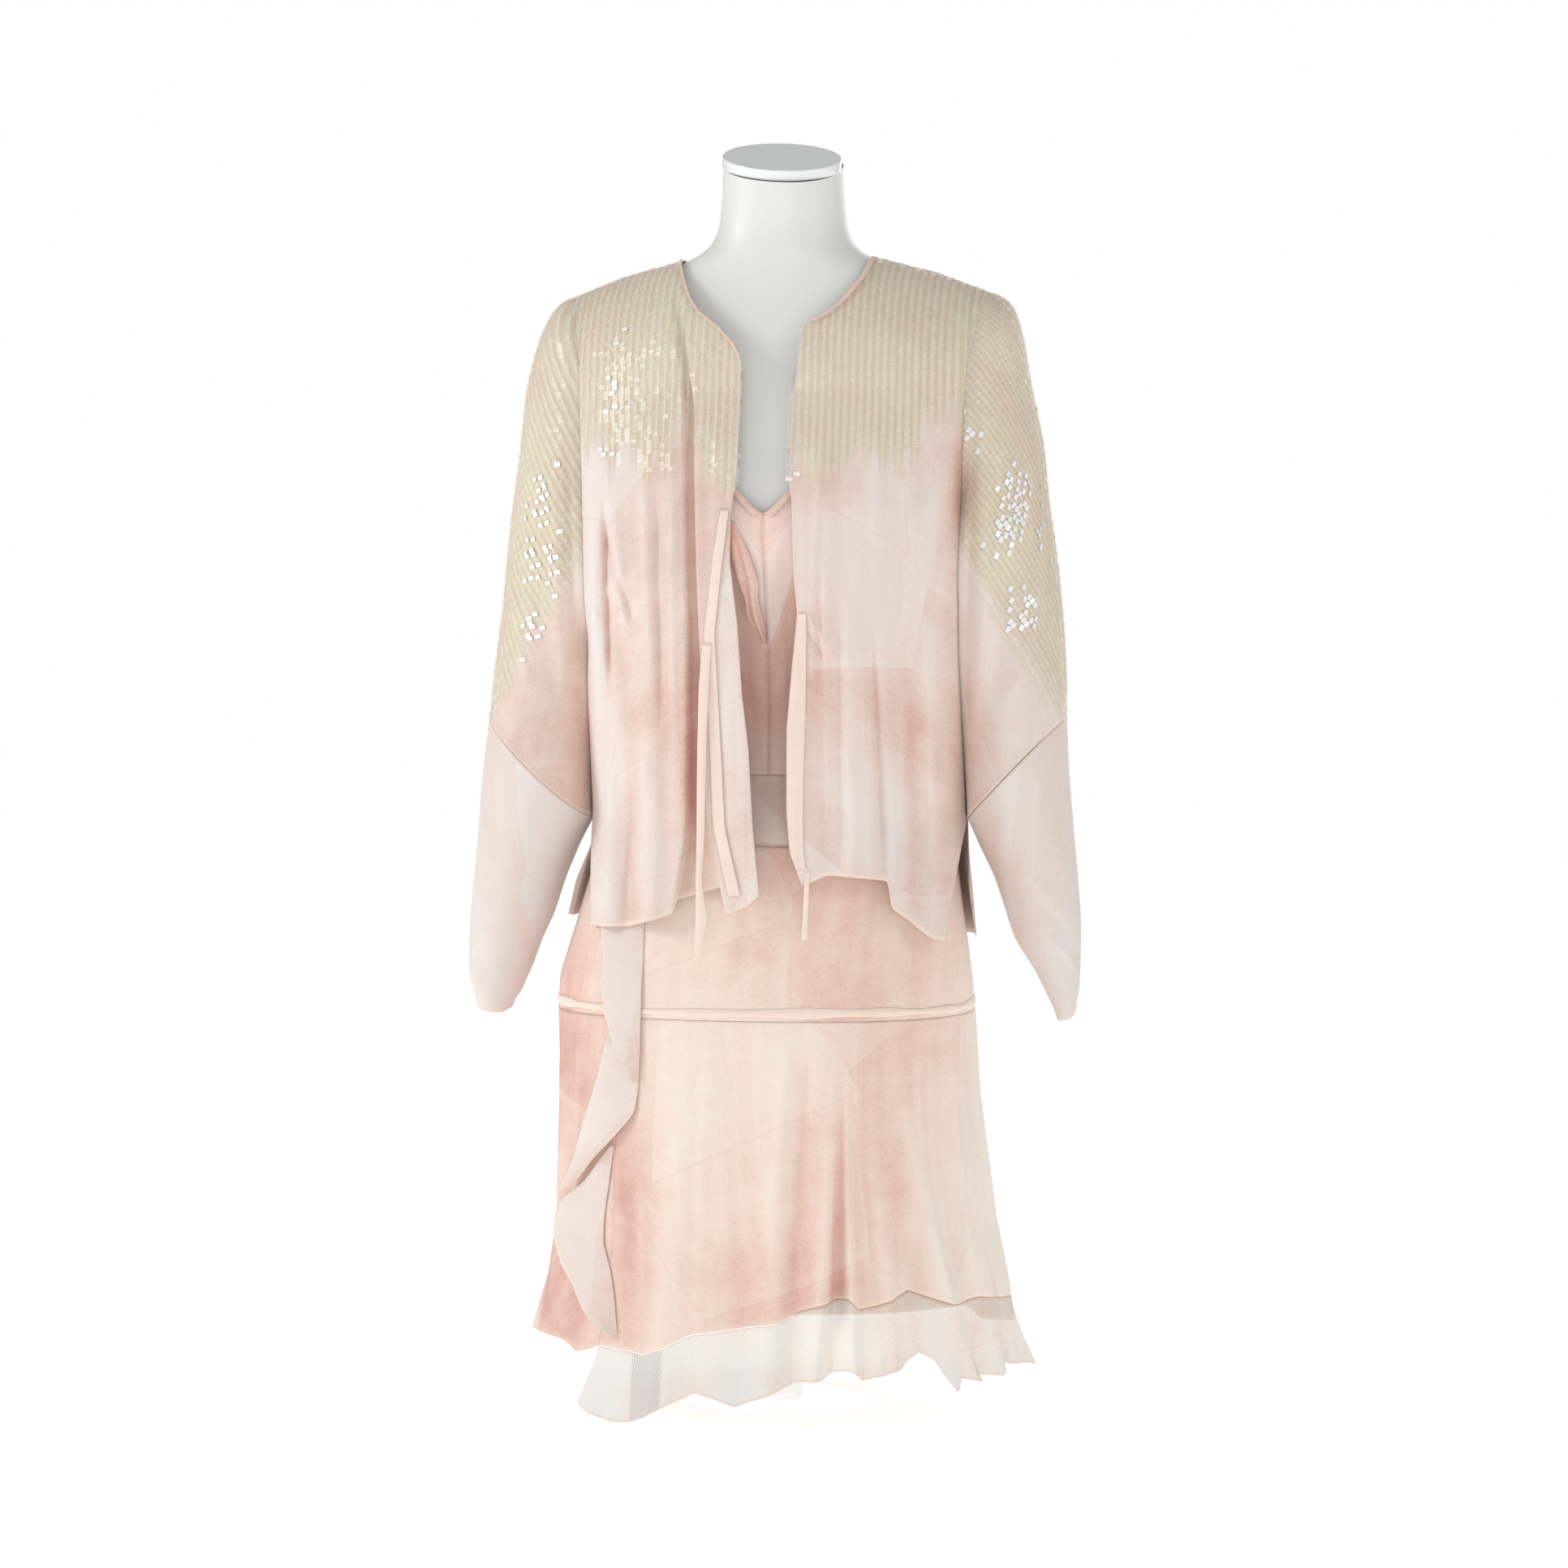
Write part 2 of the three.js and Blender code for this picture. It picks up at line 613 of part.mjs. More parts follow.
function add(name, geometry, colour) {
  const material = new THREE.MeshStandardMaterial(COLOURS[colour]);
  material.metalness = 0;
  const mesh = new THREE.Mesh(geometry, material);
  mesh.name = name;
  group.add(mesh);
}

// Grid of points from a count of columns and rows, each share running from 0 to 1
function grid(columns, rows, place, closed = false) {
  const all = [];
  for (let j = 0; j <= rows; j += 1) {
    const line = [];
    const last = closed ? columns - 1 : columns;
    for (let i = 0; i <= last; i += 1) line.push(place(i / columns, j / rows));
    all.push(line);
  }
  return all;
}

// Dress form: torso with a neck that leans forward, glossy cap, short column and round base
const FORM_SIDES = 32;
function neckTilt(point) {
  const share = smoothStep(1100, 1172, point.z);
  const rise = Math.tan(CAP.tilt * DEGREE) * (point.y - CAP.centre);
  const lean = Math.tan(CAP.roll * DEGREE) * point.x;
  point.z += share * (rise - lean);
  return point;
}
const torso = FORM.map((row) => {
  const ring = [];
  for (let i = 0; i < FORM_SIDES; i += 1) {
    ring.push(neckTilt(ringPoint(FORM, row.z, (360 * i) / FORM_SIDES, 0)));
  }
  return ring;
});
add("form_torso", loft(torso), "form");

const capProfile = [
  new THREE.Vector2(0, SEAM),
  new THREE.Vector2(CAP.radius - 1.5, SEAM),
  new THREE.Vector2(CAP.radius, SEAM + 1.5),
  new THREE.Vector2(CAP.radius, SEAM + CAP.high - 3),
  new THREE.Vector2(CAP.radius - 3, SEAM + CAP.high),
  new THREE.Vector2(0, SEAM + CAP.high),
];
const cap = new THREE.LatheGeometry(capProfile, 36);
cap.rotateX(Math.PI / 2);
cap.rotateX(CAP.tilt * DEGREE);
cap.rotateY(CAP.roll * DEGREE);
cap.translate(0, CAP.centre, 1172);
add("form_neck_cap", cap, "gloss");

const poleHigh = FORM[0].z - BASE.high - 2 * SEAM;
const pole = new THREE.CylinderGeometry(POLE_RADIUS, POLE_RADIUS, poleHigh, 24);
pole.rotateX(Math.PI / 2);
pole.translate(0, 0, BASE.high + SEAM + poleHigh / 2);
add("form_pole", pole, "form");

const baseProfile = [
  new THREE.Vector2(0, 0),
  new THREE.Vector2(BASE.radius, 0),
  new THREE.Vector2(BASE.radius, BASE.high - BASE.edge),
  new THREE.Vector2(BASE.radius - BASE.edge, BASE.high),
  new THREE.Vector2(0, BASE.high),
];
const base = new THREE.LatheGeometry(baseProfile, 48);
base.rotateX(Math.PI / 2);
add("form_base", base, "form");

// Slip dress, bodice: two fronts that meet at the centre and a back, open at neck and armholes
function bodicePoint(turn, z, out) {
  return ringPoint(FORM, z, turn, BODICE_OFF + out);
}
function frontTop(turn) {
  const away = Math.abs(turn);
  if (away <= 30) return blend(V_POINT, STRAP_JOIN, away / 30);
  if (away <= 40) return STRAP_JOIN;
  return UNDERARM + (STRAP_JOIN - UNDERARM) * ((90 - away) / 50) ** 1.7;
}
function backTop(turn) {
  const away = Math.abs(turn - 180);
  if (away <= 45) return BACK_TOP;
  return blend(BACK_TOP, UNDERARM, (away - 45) / 45);
}
const HALF_GAP = 0.1;
for (const [side, name] of [[-1, "left"], [1, "right"]]) {
  const from = side < 0 ? -90 + HALF_GAP : HALF_GAP;
  const to = side < 0 ? -HALF_GAP : 90 - HALF_GAP;
  const rows = grid(9, 8, (u, v) => {
    const turn = blend(from, to, u);
    return bodicePoint(turn, blend(frontTop(turn), BODICE_HEM, v), 0);
  });
  add(`dress_bodice_front_${name}`, wall(rows, CLOTH), "pink");
}
const backBodice = grid(18, 5, (u, v) => {
  const turn = blend(90 + HALF_GAP, 270 - HALF_GAP, u);
  return bodicePoint(turn, blend(backTop(turn), BODICE_HEM, v), 0);
});
add("dress_bodice_back", wall(backBodice, CLOTH), "pink");

// Straps run over the shoulders of the form, close to it, and meet the bodice at both ends
function insideForm(point) {
  if (point.z > 1110) return false;
  const side = point.x < 0 ? "left" : "right";
  const face = point.y > 0 ? "back" : "front";
  const width = lookup(FORM, "z", point.z, side);
  const depth = lookup(FORM, "z", point.z, face);
  const reach = (Math.abs(point.x) / width) ** POWER + (Math.abs(point.y) / depth) ** POWER;
  return reach < 1;
}
function overShoulder(x, angle, off) {
  const ray = new THREE.Vector3(0, -Math.cos(angle), Math.sin(angle));
  const start = new THREE.Vector3(x, 0, 960);
  let near = 0;
  let far = 200;
  for (let i = 0; i < 30; i += 1) {
    const middle = (near + far) / 2;
    if (insideForm(start.clone().addScaledVector(ray, middle))) near = middle;
    else far = middle;
  }
  return start.addScaledVector(ray, near + off);
}
for (const [side, name] of [[-1, "left"], [1, "right"]]) {
  const rows = grid(2, 20, (u, v) => {
    const angle = blend(1, 205, v) * DEGREE;
    const middle = v < 0.5 ? blend(STRAP.front, STRAP.top, v * 2) : blend(STRAP.top, STRAP.back, v * 2 - 1);
    const ends = Math.max(1 - v / 0.15, (v - 0.85) / 0.15, 0);
    const lift = blend(STRAP.off, BODICE_OFF, Math.min(ends, 1));
    return overShoulder(side * middle + (0.5 - u) * 2 * STRAP.half, angle, lift);
  });
  add(`dress_strap_${name}`, wall(rows, CLOTH), "pink");
}

// Bound neck edges of the V, laid on the bodice
for (const [side, name] of [[-1, "left"], [1, "right"]]) {
  const rows = grid(1, 9, (u, v) => {
    const turn = blend(30, 0.4, v);
    const wide = side < 0 ? u : 1 - u;
    const shifted = turn + blend(1.6, 0, wide);
    const drop = blend(4, 0.6, wide);
    return bodicePoint(side * shifted, frontTop(turn) - drop, LAID);
  });
  add(`dress_neck_binding_${name}`, wall(rows, 1), "pink");
}

// Folded drape that hangs from the left edge of the V
const drape = grid(5, 8, (u, v) => {
  const z = blend(DRAPE[0].z, DRAPE[DRAPE.length - 1].z, v);
  const rows = [...DRAPE].reverse();
  const x = blend(lookup(rows, "z", z, "left"), lookup(rows, "z", z, "right"), u);
  const lift = lookup(rows, "z", z, "off") * (0.45 + 0.55 * Math.sin(Math.PI * (0.2 + 0.7 * u)) ** 2);
  const depth = ringDepth(FORM, z, x, "front", BODICE_OFF + CLOTH);
  return new THREE.Vector3(x, -depth - 1.8 - lift * smoothStep(0, 0.25, v), z);
});
add("dress_front_drape", wall(drape, 1), "pink");

// Sheer midriff between the bodice and the hip yoke
const midriff = grid(36, 3, (u, v) => {
  const z = blend(MIDRIFF.top, MIDRIFF.bottom, v);
  const turn = 360 * u;
  const upper = ringPoint(FORM, z, turn, MIDRIFF.offTop);
  const lower = ringPoint(SKIRT, z, turn, MIDRIFF.offBottom);
  return upper.lerp(lower, smoothStep(BODICE_HEM - 2, YOKE.top + 4, z));
}, true);
add("dress_midriff", wall(midriff, CLOTH, true), "ivory");

// Hip yoke, and the tape that covers its lower seam
const yoke = grid(36, 4, (u, v) => ringPoint(SKIRT, blend(YOKE.top, YOKE.bottom, v), 360 * u, 0), true);
add("dress_hip_yoke", wall(yoke, CLOTH, true), "blush");
const tape = grid(36, 1, (u, v) => {
  const z = blend(394.5, 382, v);
  return ringPoint(SKIRT, z, 360 * u, CLOTH + SEAM + 0.05);
}, true);
add("dress_hip_tape", wall(tape, 1, true), "ivory");

// Skirt surface: the section moved out by its folds, which open towards the hem
function foldRise(folds, turn, z) {
  const share = Math.min(Math.max((FOLD_TOP - z) / (FOLD_TOP - FOLD_HEM), 0), 1.2);
  let rise = 0;
  for (const fold of folds) {
    const centre = blend(fold.hip, fold.hem, share);
    const away = ((turn - centre + 540) % 360) - 180;
    if (Math.abs(away) < 40) rise += fold.rise * share ** 1.1 * bump(away, fold.spread);
  }
  return rise;
}
function skirtPoint(turn, z, out) {
  return ringPoint(SKIRT, z, turn, out + foldRise(SKIRT_FOLDS, turn, z));
}

const SKIRT_TOP = YOKE.bottom - SEAM;
const FRONT_FROM = -37.8;
const SIDE_SEAM = 75;
const FRONT_COLUMNS = 38;
const BACK_COLUMNS = 42;
const skirtFront = grid(FRONT_COLUMNS, 6, (u, v) => {
  const turn = blend(FRONT_FROM, SIDE_SEAM - HALF_GAP, u);
  const low = lookup(FLOUNCE_SEAM, "turn", turn, "z");
  return skirtPoint(turn, blend(SKIRT_TOP, low, v ** 0.9), 0);
});
add("dress_skirt_front", wall(skirtFront, CLOTH), "blush");
const BACK_FROM = SIDE_SEAM + HALF_GAP;
const BACK_TO = 360 + FRONT_FROM - 2 * HALF_GAP;
const skirtBack = grid(BACK_COLUMNS, 5, (u, v) => {
  const turn = blend(BACK_FROM, BACK_TO, u);
  const low = lookup(BACK_HEM, "turn", turn, "z");
  return skirtPoint(turn, blend(SKIRT_TOP, low, v ** 0.9), 0);
});
add("dress_skirt_back", wall(skirtBack, CLOTH), "blush");

// Lining of the skirt, which shows through the flounce
const lining = grid(36, 3, (u, v) => {
  const z = blend(376, 112, v);
  return ringPoint(SKIRT, z, 360 * u, blend(-1.7, -14, smoothStep(0, 0.6, v)));
}, true);
add("dress_lining_skirt", wall(lining, CLOTH, true), "pink");

// Sheer flounce below the skirt's front, with waves that grow towards its lower edge
const flounceTurns = [];
for (let i = 0; i <= FRONT_COLUMNS; i += 1) {
  flounceTurns.push(blend(FRONT_FROM, SIDE_SEAM - HALF_GAP, i / FRONT_COLUMNS));
}
for (let i = 1; i <= 3; i += 1) flounceTurns.push(blend(BACK_FROM, BACK_TO, i / BACK_COLUMNS));
const flounce = grid(flounceTurns.length - 1, 3, (u, v) => {
  const turn = flounceTurns[Math.round(u * (flounceTurns.length - 1))];
  const top = lookup(FLOUNCE_SEAM, "turn", turn, "z") - 2 * SEAM;
  const low = lookup(FLOUNCE_HEM, "turn", turn, "z");
  const push = lookup(FLOUNCE_HEM, "turn", turn, "push") - 3;
  return skirtPoint(turn, blend(top, low, v), push * v ** 1.3);
});
add("dress_hem_flounce", wall(flounce, CLOTH), "ivory");

// Cascading ruffle on the left front, three flaps that stand off the skirt
function onSkirt(x, z, off) {
  const width = lookup(SKIRT, "z", z, "left");
  const sine = Math.min(Math.abs(x) / width, 1) ** (POWER / 2);
  const turn = -Math.asin(sine) / DEGREE;
  return skirtPoint(turn, z, CLOTH + off);
}
function flap(name, table, lines) {
  const rows = [...table].reverse();
  const top = table[0].z;
  const low = rows[0].z;
  const points = grid(5, lines, (u, v) => {
    const z = blend(top, low, v);
    const x = blend(lookup(rows, "z", z, "left"), lookup(rows, "z", z, "right"), u);
    const off = blend(lookup(rows, "z", z, "offLeft"), lookup(rows, "z", z, "offRight"), u);
    return onSkirt(x, z, off);
  });
  add(name, wall(points, 1), "ivory");
}
flap("dress_cascade_upper", CASCADE_UPPER, 9);
flap("dress_cascade_middle", CASCADE_MIDDLE, 9);
flap("dress_cascade_lower", CASCADE_LOWER, 10);

// Jacket body: how deep it lies in front of or behind the shoulder line at a distance and height
function shoulderLine(x) {
  return lookup(SHOULDER_LINE, "x", Math.abs(x), "z");
}
function wornDepth(x, z, face) {
  const body = ringDepth(FORM, z, x, face, z > 930 ? 3.6 : 7.5);
  const skirt = z < 563 ? ringDepth(SKIRT, z, x, face, face === "back" ? 9 : 3.6) : -1000;
  return Math.max(body, skirt);
}
function jacketDepth(x, z, rows, face) {
  const low = Math.min(z, SHOULDER_START);
  const side = x < 0 ? "left" : "right";
  const reach = lookup(ARMHOLE, "z", low, side);
  const share = Math.max(1 - (Math.abs(x) / reach) ** 2.2, 0) ** (1 / 1.6);
  let depth = blend(lookup(rows, "z", low, "edge"), lookup(rows, "z", low, "depth"), share);
  if (z > SHOULDER_START) {
    const up = (z - SHOULDER_START) / (shoulderLine(x) - SHOULDER_START);
    depth *= Math.sqrt(Math.max(1 - up * up, 0));
  }
  return softMax(depth, wornDepth(x, z, face), 5);
}
function jacketFolds(x, z) {
  const share = smoothStep(930, 480, z);
  let rise = 0;
  for (const fold of JACKET_FOLDS) {
    const centre = fold.side * blend(fold.top, fold.hem, share);
    rise += fold.rise * share * bump(x - centre, fold.spread);
  }
  return rise;
}
function tuck(x, z) {
  const from = lookup(TUCK, "z", z, "from");
  const to = lookup(TUCK, "z", z, "to");
  const inside = smoothStep(from - 1.5, from + 2, x) * (1 - smoothStep(to - 2, to + 1.5, x));
  return lookup(TUCK, "z", z, "deep") * inside;
}
function jacketFrontPoint(x, z, out) {
  let depth = jacketDepth(x, z, JACKET_FRONT, "front");
  const edge = x < 0 ? lookup(EDGE_LEFT, "z", z, "x") : lookup(EDGE_RIGHT, "z", z, "x");
  const inward = smoothStep(0, 12, Math.abs(x - edge));
  const outward = 1 - smoothStep(0.88, 1, Math.abs(x) / lookup(ARMHOLE, "z", z, x < 0 ? "left" : "right"));
  depth += jacketFolds(x, z) * inward * outward;
  if (x < 0) depth -= tuck(x, z);
  depth = Math.max(depth, wornDepth(x, z, "front") + 0.6);
  return new THREE.Vector3(x, -depth - out, z);
}
function jacketBackPoint(x, z, out) {
  let depth = jacketDepth(x, z, JACKET_BACK, "back");
  depth = softMax(depth, ringDepth(FORM, Math.min(z, 1085), x, "back", z > 930 ? 3.6 : 7.5), 4);
  const share = smoothStep(900, 470, z);
  const side = x < 0 ? "left" : "right";
  const outward = 1 - smoothStep(0.85, 1, Math.abs(x) / lookup(ARMHOLE, "z", z, side));
  for (const fold of BACK_FOLDS) {
    depth += fold.rise * share * outward * bump(x - blend(fold.top, fold.hem, share), fold.spread);
  }
  return new THREE.Vector3(x, depth + out, z);
}

// Levels of the jacket: angles over the shoulder, then shares of the way down to the hem
const SHOULDER_ANGLES = [90, 78, 66, 54, 43, 33, 24, 13, 0];
const DOWN_SHARES = [0.12, 0.25, 0.38, 0.52, 0.66, 0.78, 0.89, 1];
function levelHeight(x, angle) {
  return SHOULDER_START + (shoulderLine(x) - SHOULDER_START) * Math.sin(angle * DEGREE);
}
function settle(start, heightAt, placeAt) {
  let x = start;
  for (let i = 0; i < 12; i += 1) x = blend(x, placeAt(heightAt(x)), 0.7);
  return x;
}
function frontRow(side, columns, heightAt) {
  const edges = side < 0 ? EDGE_LEFT : EDGE_RIGHT;
  const name = side < 0 ? "left" : "right";
  const near = settle(side * 60, heightAt, (z) => lookup(edges, "z", z, "x"));
  const far = settle(side * 180, heightAt, (z) => {
    const rows = z < 562 ? FRONT_SIDE_EDGE : ARMHOLE;
    return side * (lookup(rows, "z", z, name) - SEAM);
  });
  return columns.map((share) => {
    const x = blend(near, far, share);
    return jacketFrontPoint(x, heightAt(x), 0);
  });
}
const LEFT_COLUMNS = [1, 0.93, 0.86, 0.79, 0.72, 0.65, 0.58, 0.52, 0.47, 0.42, 0.37, 0.32, 0.27, 0.22, 0.16, 0.08, 0];
const RIGHT_COLUMNS = [0, 0.08, 0.16, 0.24, 0.32, 0.4, 0.48, 0.56, 0.64, 0.72, 0.8, 0.87, 0.94, 1];
for (const [side, name, columns, hem] of [
  [-1, "left", LEFT_COLUMNS, HEM_LEFT],
  [1, "right", RIGHT_COLUMNS, HEM_RIGHT],
]) {
  const rows = [];
  for (const angle of SHOULDER_ANGLES) rows.push(frontRow(side, columns, (x) => levelHeight(x, angle)));
  for (const share of DOWN_SHARES) {
    const down = (x) => blend(SHOULDER_START, lookup(hem, "x", x, "z"), share);
    rows.push(frontRow(side, columns, down));
  }
  for (const point of rows[0]) point.y = Math.min(point.y, 0) - 0.2;
  add(`jacket_front_${name}`, wall(rows, CLOTH, false, true), "yoke");
}

// Jacket back, which stands up a little behind the neck
const NECK_SIDE = 92;
const NECK_RISE = 6;
function backTopLine(x) {
  const away = Math.min(Math.abs(x) / NECK_SIDE, 1);
  if (away === 1) return shoulderLine(x);
  return shoulderLine(NECK_SIDE) + NECK_RISE * (1 - away * away);
}
const backLevels = [];
for (const angle of SHOULDER_ANGLES) {
  const height = (x) => blend(SHOULDER_START, backTopLine(x), Math.sin(angle * DEGREE));
  const left = settle(-180, height, (z) => -(lookup(ARMHOLE, "z", z, "left") - SEAM));
  const right = settle(180, height, (z) => lookup(ARMHOLE, "z", z, "right") - SEAM);
  backLevels.push({ left, right, height });
}
for (const share of DOWN_SHARES) {
  const height = (x) => blend(SHOULDER_START, lookup(HEM_BACK, "x", x, "z"), share);
  const edge = (z, side) => lookup(z < 575 ? BACK_SIDE_EDGE : ARMHOLE, "z", z, side) - SEAM;
  const left = settle(-180, height, (z) => -edge(z, "left"));
  const right = settle(180, height, (z) => edge(z, "right"));
  backLevels.push({ left, right, height });
}
const JACKET_COLUMNS = 20;
function spread(share) {
  return blend(share, (1 - Math.cos(Math.PI * share)) / 2, 0.6);
}
const backGrid = backLevels.map(({ left, right, height }, index) => {
  const line = [];
  for (let i = 0; i <= JACKET_COLUMNS; i += 1) {
    const x = blend(right, left, spread(i / JACKET_COLUMNS));
    const point = jacketBackPoint(x, height(x), 0);
    if (index === 0) point.y = Math.max(point.y, 0) + 0.2;
    line.push(point);
  }
  return line;
});
add("jacket_back", wall(backGrid, CLOTH, false, true), "yoke");

// Sleeves: the upper part runs from the front armhole round the outer arm to the back armhole
function sleeveStation(side, row, share) {
  const name = side < 0 ? "left" : "right";
  const edge = lookup(ARMHOLE, "z", row.z, name);
  const front = jacketDepth(side * edge, row.z, JACKET_FRONT, "front");
  const back = jacketDepth(side * edge, row.z, JACKET_BACK, "back");
  const around = Math.PI * share;
  const sine = Math.sin(around);
  const reach = blend(sine, sine * sine, row.loop);
  const half = (front + back) / 2;
  const middle = (back - front) / 2;
  const y = middle - half * Math.cos(around) - row.loop * row.swing * Math.sin(2 * around);
  const start = edge + 2 * SEAM + 1.4 * row.loop;
  const x = start + (row.outX - start) * reach;
  return new THREE.Vector3(side * x, y, row.z + (row.outZ - row.z) * reach);
}
const SLEEVE_COLUMNS = 14;
function sleeveUpper(side, table) {
  return table.map((row) => {
    const line = [];
    for (let i = 0; i <= SLEEVE_COLUMNS; i += 1) {
      const share = side > 0 ? i / SLEEVE_COLUMNS : 1 - i / SLEEVE_COLUMNS;
      line.push(sleeveStation(side, row, share));
    }
    return line;
  });
}
add("jacket_sleeve_upper_left", wall(sleeveUpper(-1, SLEEVE_UPPER_LEFT), CLOTH, false, true), "yoke");
add("jacket_sleeve_upper_right", wall(sleeveUpper(1, SLEEVE_UPPER_RIGHT), CLOTH, false, true), "yoke");

// Lower sleeve: a tube that narrows to an open cuff
function sleeveLower(side, table) {
  return table.map((row) => {
    const line = [];
    for (let i = 0; i < SLEEVE_COLUMNS; i += 1) {
      const around = (2 * Math.PI * (side > 0 ? i : SLEEVE_COLUMNS - i)) / SLEEVE_COLUMNS;
      const reach = (1 - Math.cos(around)) / 2;
      const x = side * (row.x + (row.outX - row.x) * reach);
      const y = row.y - row.half * Math.sin(around);
      line.push(new THREE.Vector3(x, y, row.z + (row.outZ - row.z) * reach));
    }
    return line;
  });
}
add("jacket_sleeve_lower_left", wall(sleeveLower(-1, SLEEVE_LOWER_LEFT), CLOTH, true), "ivory");
add("jacket_sleeve_lower_right", wall(sleeveLower(1, SLEEVE_LOWER_RIGHT), CLOTH, true), "ivory");

// Binding round the jacket's neckline: up the left front, behind the neck and down the right front
const BIND_WIDE = 5;
function neckEdge(side, angle, inset) {
  const edges = side < 0 ? EDGE_LEFT : EDGE_RIGHT;
  const near = settle(side * 60, (x) => levelHeight(x, angle), (z) => lookup(edges, "z", z, "x"));
  const x = near + side * inset;
  const point = jacketFrontPoint(x, levelHeight(x, angle), 0);
  point.y -= (LAID + 0.75) * Math.cos(angle * DEGREE);
  point.z += (LAID + 0.75) * Math.sin(angle * DEGREE);
  return point;
}
function neckBack(x, inset) {
  const point = jacketBackPoint(x, backTopLine(x) - inset, LAID + 1.4);
  point.y = Math.max(point.y, 1);
  point.z += Math.abs(x) > 80 ? LAID : 0;
  return point;
}
const NECK_ANGLES = { left: [78, 66, 54, 43, 33, 24, 13], right: [29, 33, 43, 54, 66, 78] };
const BACK_NECK = [-86, -72, -52, -28, 0, 28, 52, 72, 84];
for (const [name, points] of [
  ["left", NECK_ANGLES.left.map((angle) => [neckEdge(-1, angle, 0.4), neckEdge(-1, angle, BIND_WIDE)])],
  ["right", NECK_ANGLES.right.map((angle) => [neckEdge(1, angle, 0.4), neckEdge(1, angle, BIND_WIDE)])],
  ["back", BACK_NECK.map((x) => [neckBack(x, 0), neckBack(x, BIND_WIDE)])],
]) {
  const rows = [points.map(([edge]) => edge), points.map(([, under]) => under)];
  if (name === "back") rows.forEach((row) => row.reverse());
  add(`jacket_neck_binding_${name}`, wall(rows, 1), "pink");
}

// Strips laid on the fronts, and the two ties that hang from them
function strip(table, steps, out, side) {
  const rows = [...table].sort((a, b) => a.z - b.z);
  const top = rows[rows.length - 1].z;
  return grid(1, steps, (u, v) => {
    const z = blend(top, rows[0].z, v);
    const x = lookup(rows, "z", z, "x") + (u - 0.5) * 2 * lookup(rows, "z", z, "half");
    const point = jacketFrontPoint(x, Math.max(z, side < 0 ? 505 : 519), out);
    return point.setZ(z);
  });
}
add("jacket_front_band_left", wall(strip(BAND_LEFT, 12, LAID, -1), 1), "ivory");
add("jacket_front_facing_right", wall(strip(FACING_RIGHT, 8, LAID, 1), 1), "ivory");
function tie(table, steps, side) {
  const rows = [...table].sort((a, b) => a.z - b.z);
  const top = rows[rows.length - 1];
  const anchor = (z) => jacketDepth(top.x, Math.max(z, 500), JACKET_FRONT, "front");
  return grid(1, steps, (u, v) => {
    const z = blend(top.z, rows[0].z, v);
    const x = lookup(rows, "z", z, "x") + (u - 0.5) * 2 * lookup(rows, "z", z, "half");
    const fall = jacketFrontPoint(side < 0 ? -46 : 44, Math.max(z, 505), 0).y;
    const lift = side < 0 ? LAID + 1.4 : CLOTH + 0.5;
    const depth = Math.max(anchor(z), -fall) + lift + smoothStep(0, 0.3, v);
    return new THREE.Vector3(x, -depth, z);
  });
}
add("jacket_tie_left", wall(tie(TIE_LEFT, 12, -1), 1), "ivory");
add("jacket_tie_right", wall(tie(TIE_RIGHT, 4, 1), 1), "ivory");

export default group;
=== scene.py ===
import math
import random

import bmesh
import bpy
import numpy as np
from mathutils import Matrix, Vector, kdtree, noise


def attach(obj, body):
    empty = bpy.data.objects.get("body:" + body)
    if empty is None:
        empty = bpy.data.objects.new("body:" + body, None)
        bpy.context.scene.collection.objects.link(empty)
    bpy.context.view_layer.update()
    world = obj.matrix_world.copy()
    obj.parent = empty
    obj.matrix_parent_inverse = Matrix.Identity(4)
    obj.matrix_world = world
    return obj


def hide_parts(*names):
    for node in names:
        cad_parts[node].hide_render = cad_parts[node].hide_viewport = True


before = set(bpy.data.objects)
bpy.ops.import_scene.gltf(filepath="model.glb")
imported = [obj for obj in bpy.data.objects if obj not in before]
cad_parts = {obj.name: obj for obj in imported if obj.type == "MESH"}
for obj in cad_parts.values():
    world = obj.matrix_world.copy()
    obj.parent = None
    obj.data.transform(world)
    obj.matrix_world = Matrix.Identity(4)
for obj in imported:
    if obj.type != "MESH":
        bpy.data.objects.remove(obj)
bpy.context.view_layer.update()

# Studio: a pale floor under a white surround, with soft lamps on both sides and a long lens a little to
# the right of the front. Lengths of the garment are in millimetres and become metres in its meshes.
MILLIMETRE = 0.001
SIDES = [(-1, "left"), (1, "right")]
CAMERA_AZIMUTH = 8
CAMERA_ELEVATION = 3
CAMERA_DISTANCE = 4.13
CAMERA_AIM = Vector((0, 0, 0.592))
LENS = 100
SENSOR = 36
SURROUND_LIGHT = 0.42
SURROUND_SEEN = 1.0

scene = bpy.context.scene
scene.view_settings.view_transform = "Standard"
scene.cycles.transparent_max_bounces = 24


def look_from(azimuth, elevation, distance, aim):
    """Place and quaternion that look at a point from an angle round the front"""
    a, e = math.radians(azimuth), math.radians(elevation)
    back = Vector((math.sin(a) * math.cos(e), -math.cos(a) * math.cos(e), math.sin(e)))
    return aim + back * distance, (-back).to_track_quat("-Z", "Y")


camera_data = bpy.data.cameras.new("camera")
camera_data.lens = LENS
camera_data.sensor_width = SENSOR
camera = bpy.data.objects.new("camera", camera_data)
scene.collection.objects.link(camera)
camera.rotation_mode = "QUATERNION"
camera.location, camera.rotation_quaternion = look_from(
    CAMERA_AZIMUTH, CAMERA_ELEVATION, CAMERA_DISTANCE, CAMERA_AIM
)
scene.camera = camera

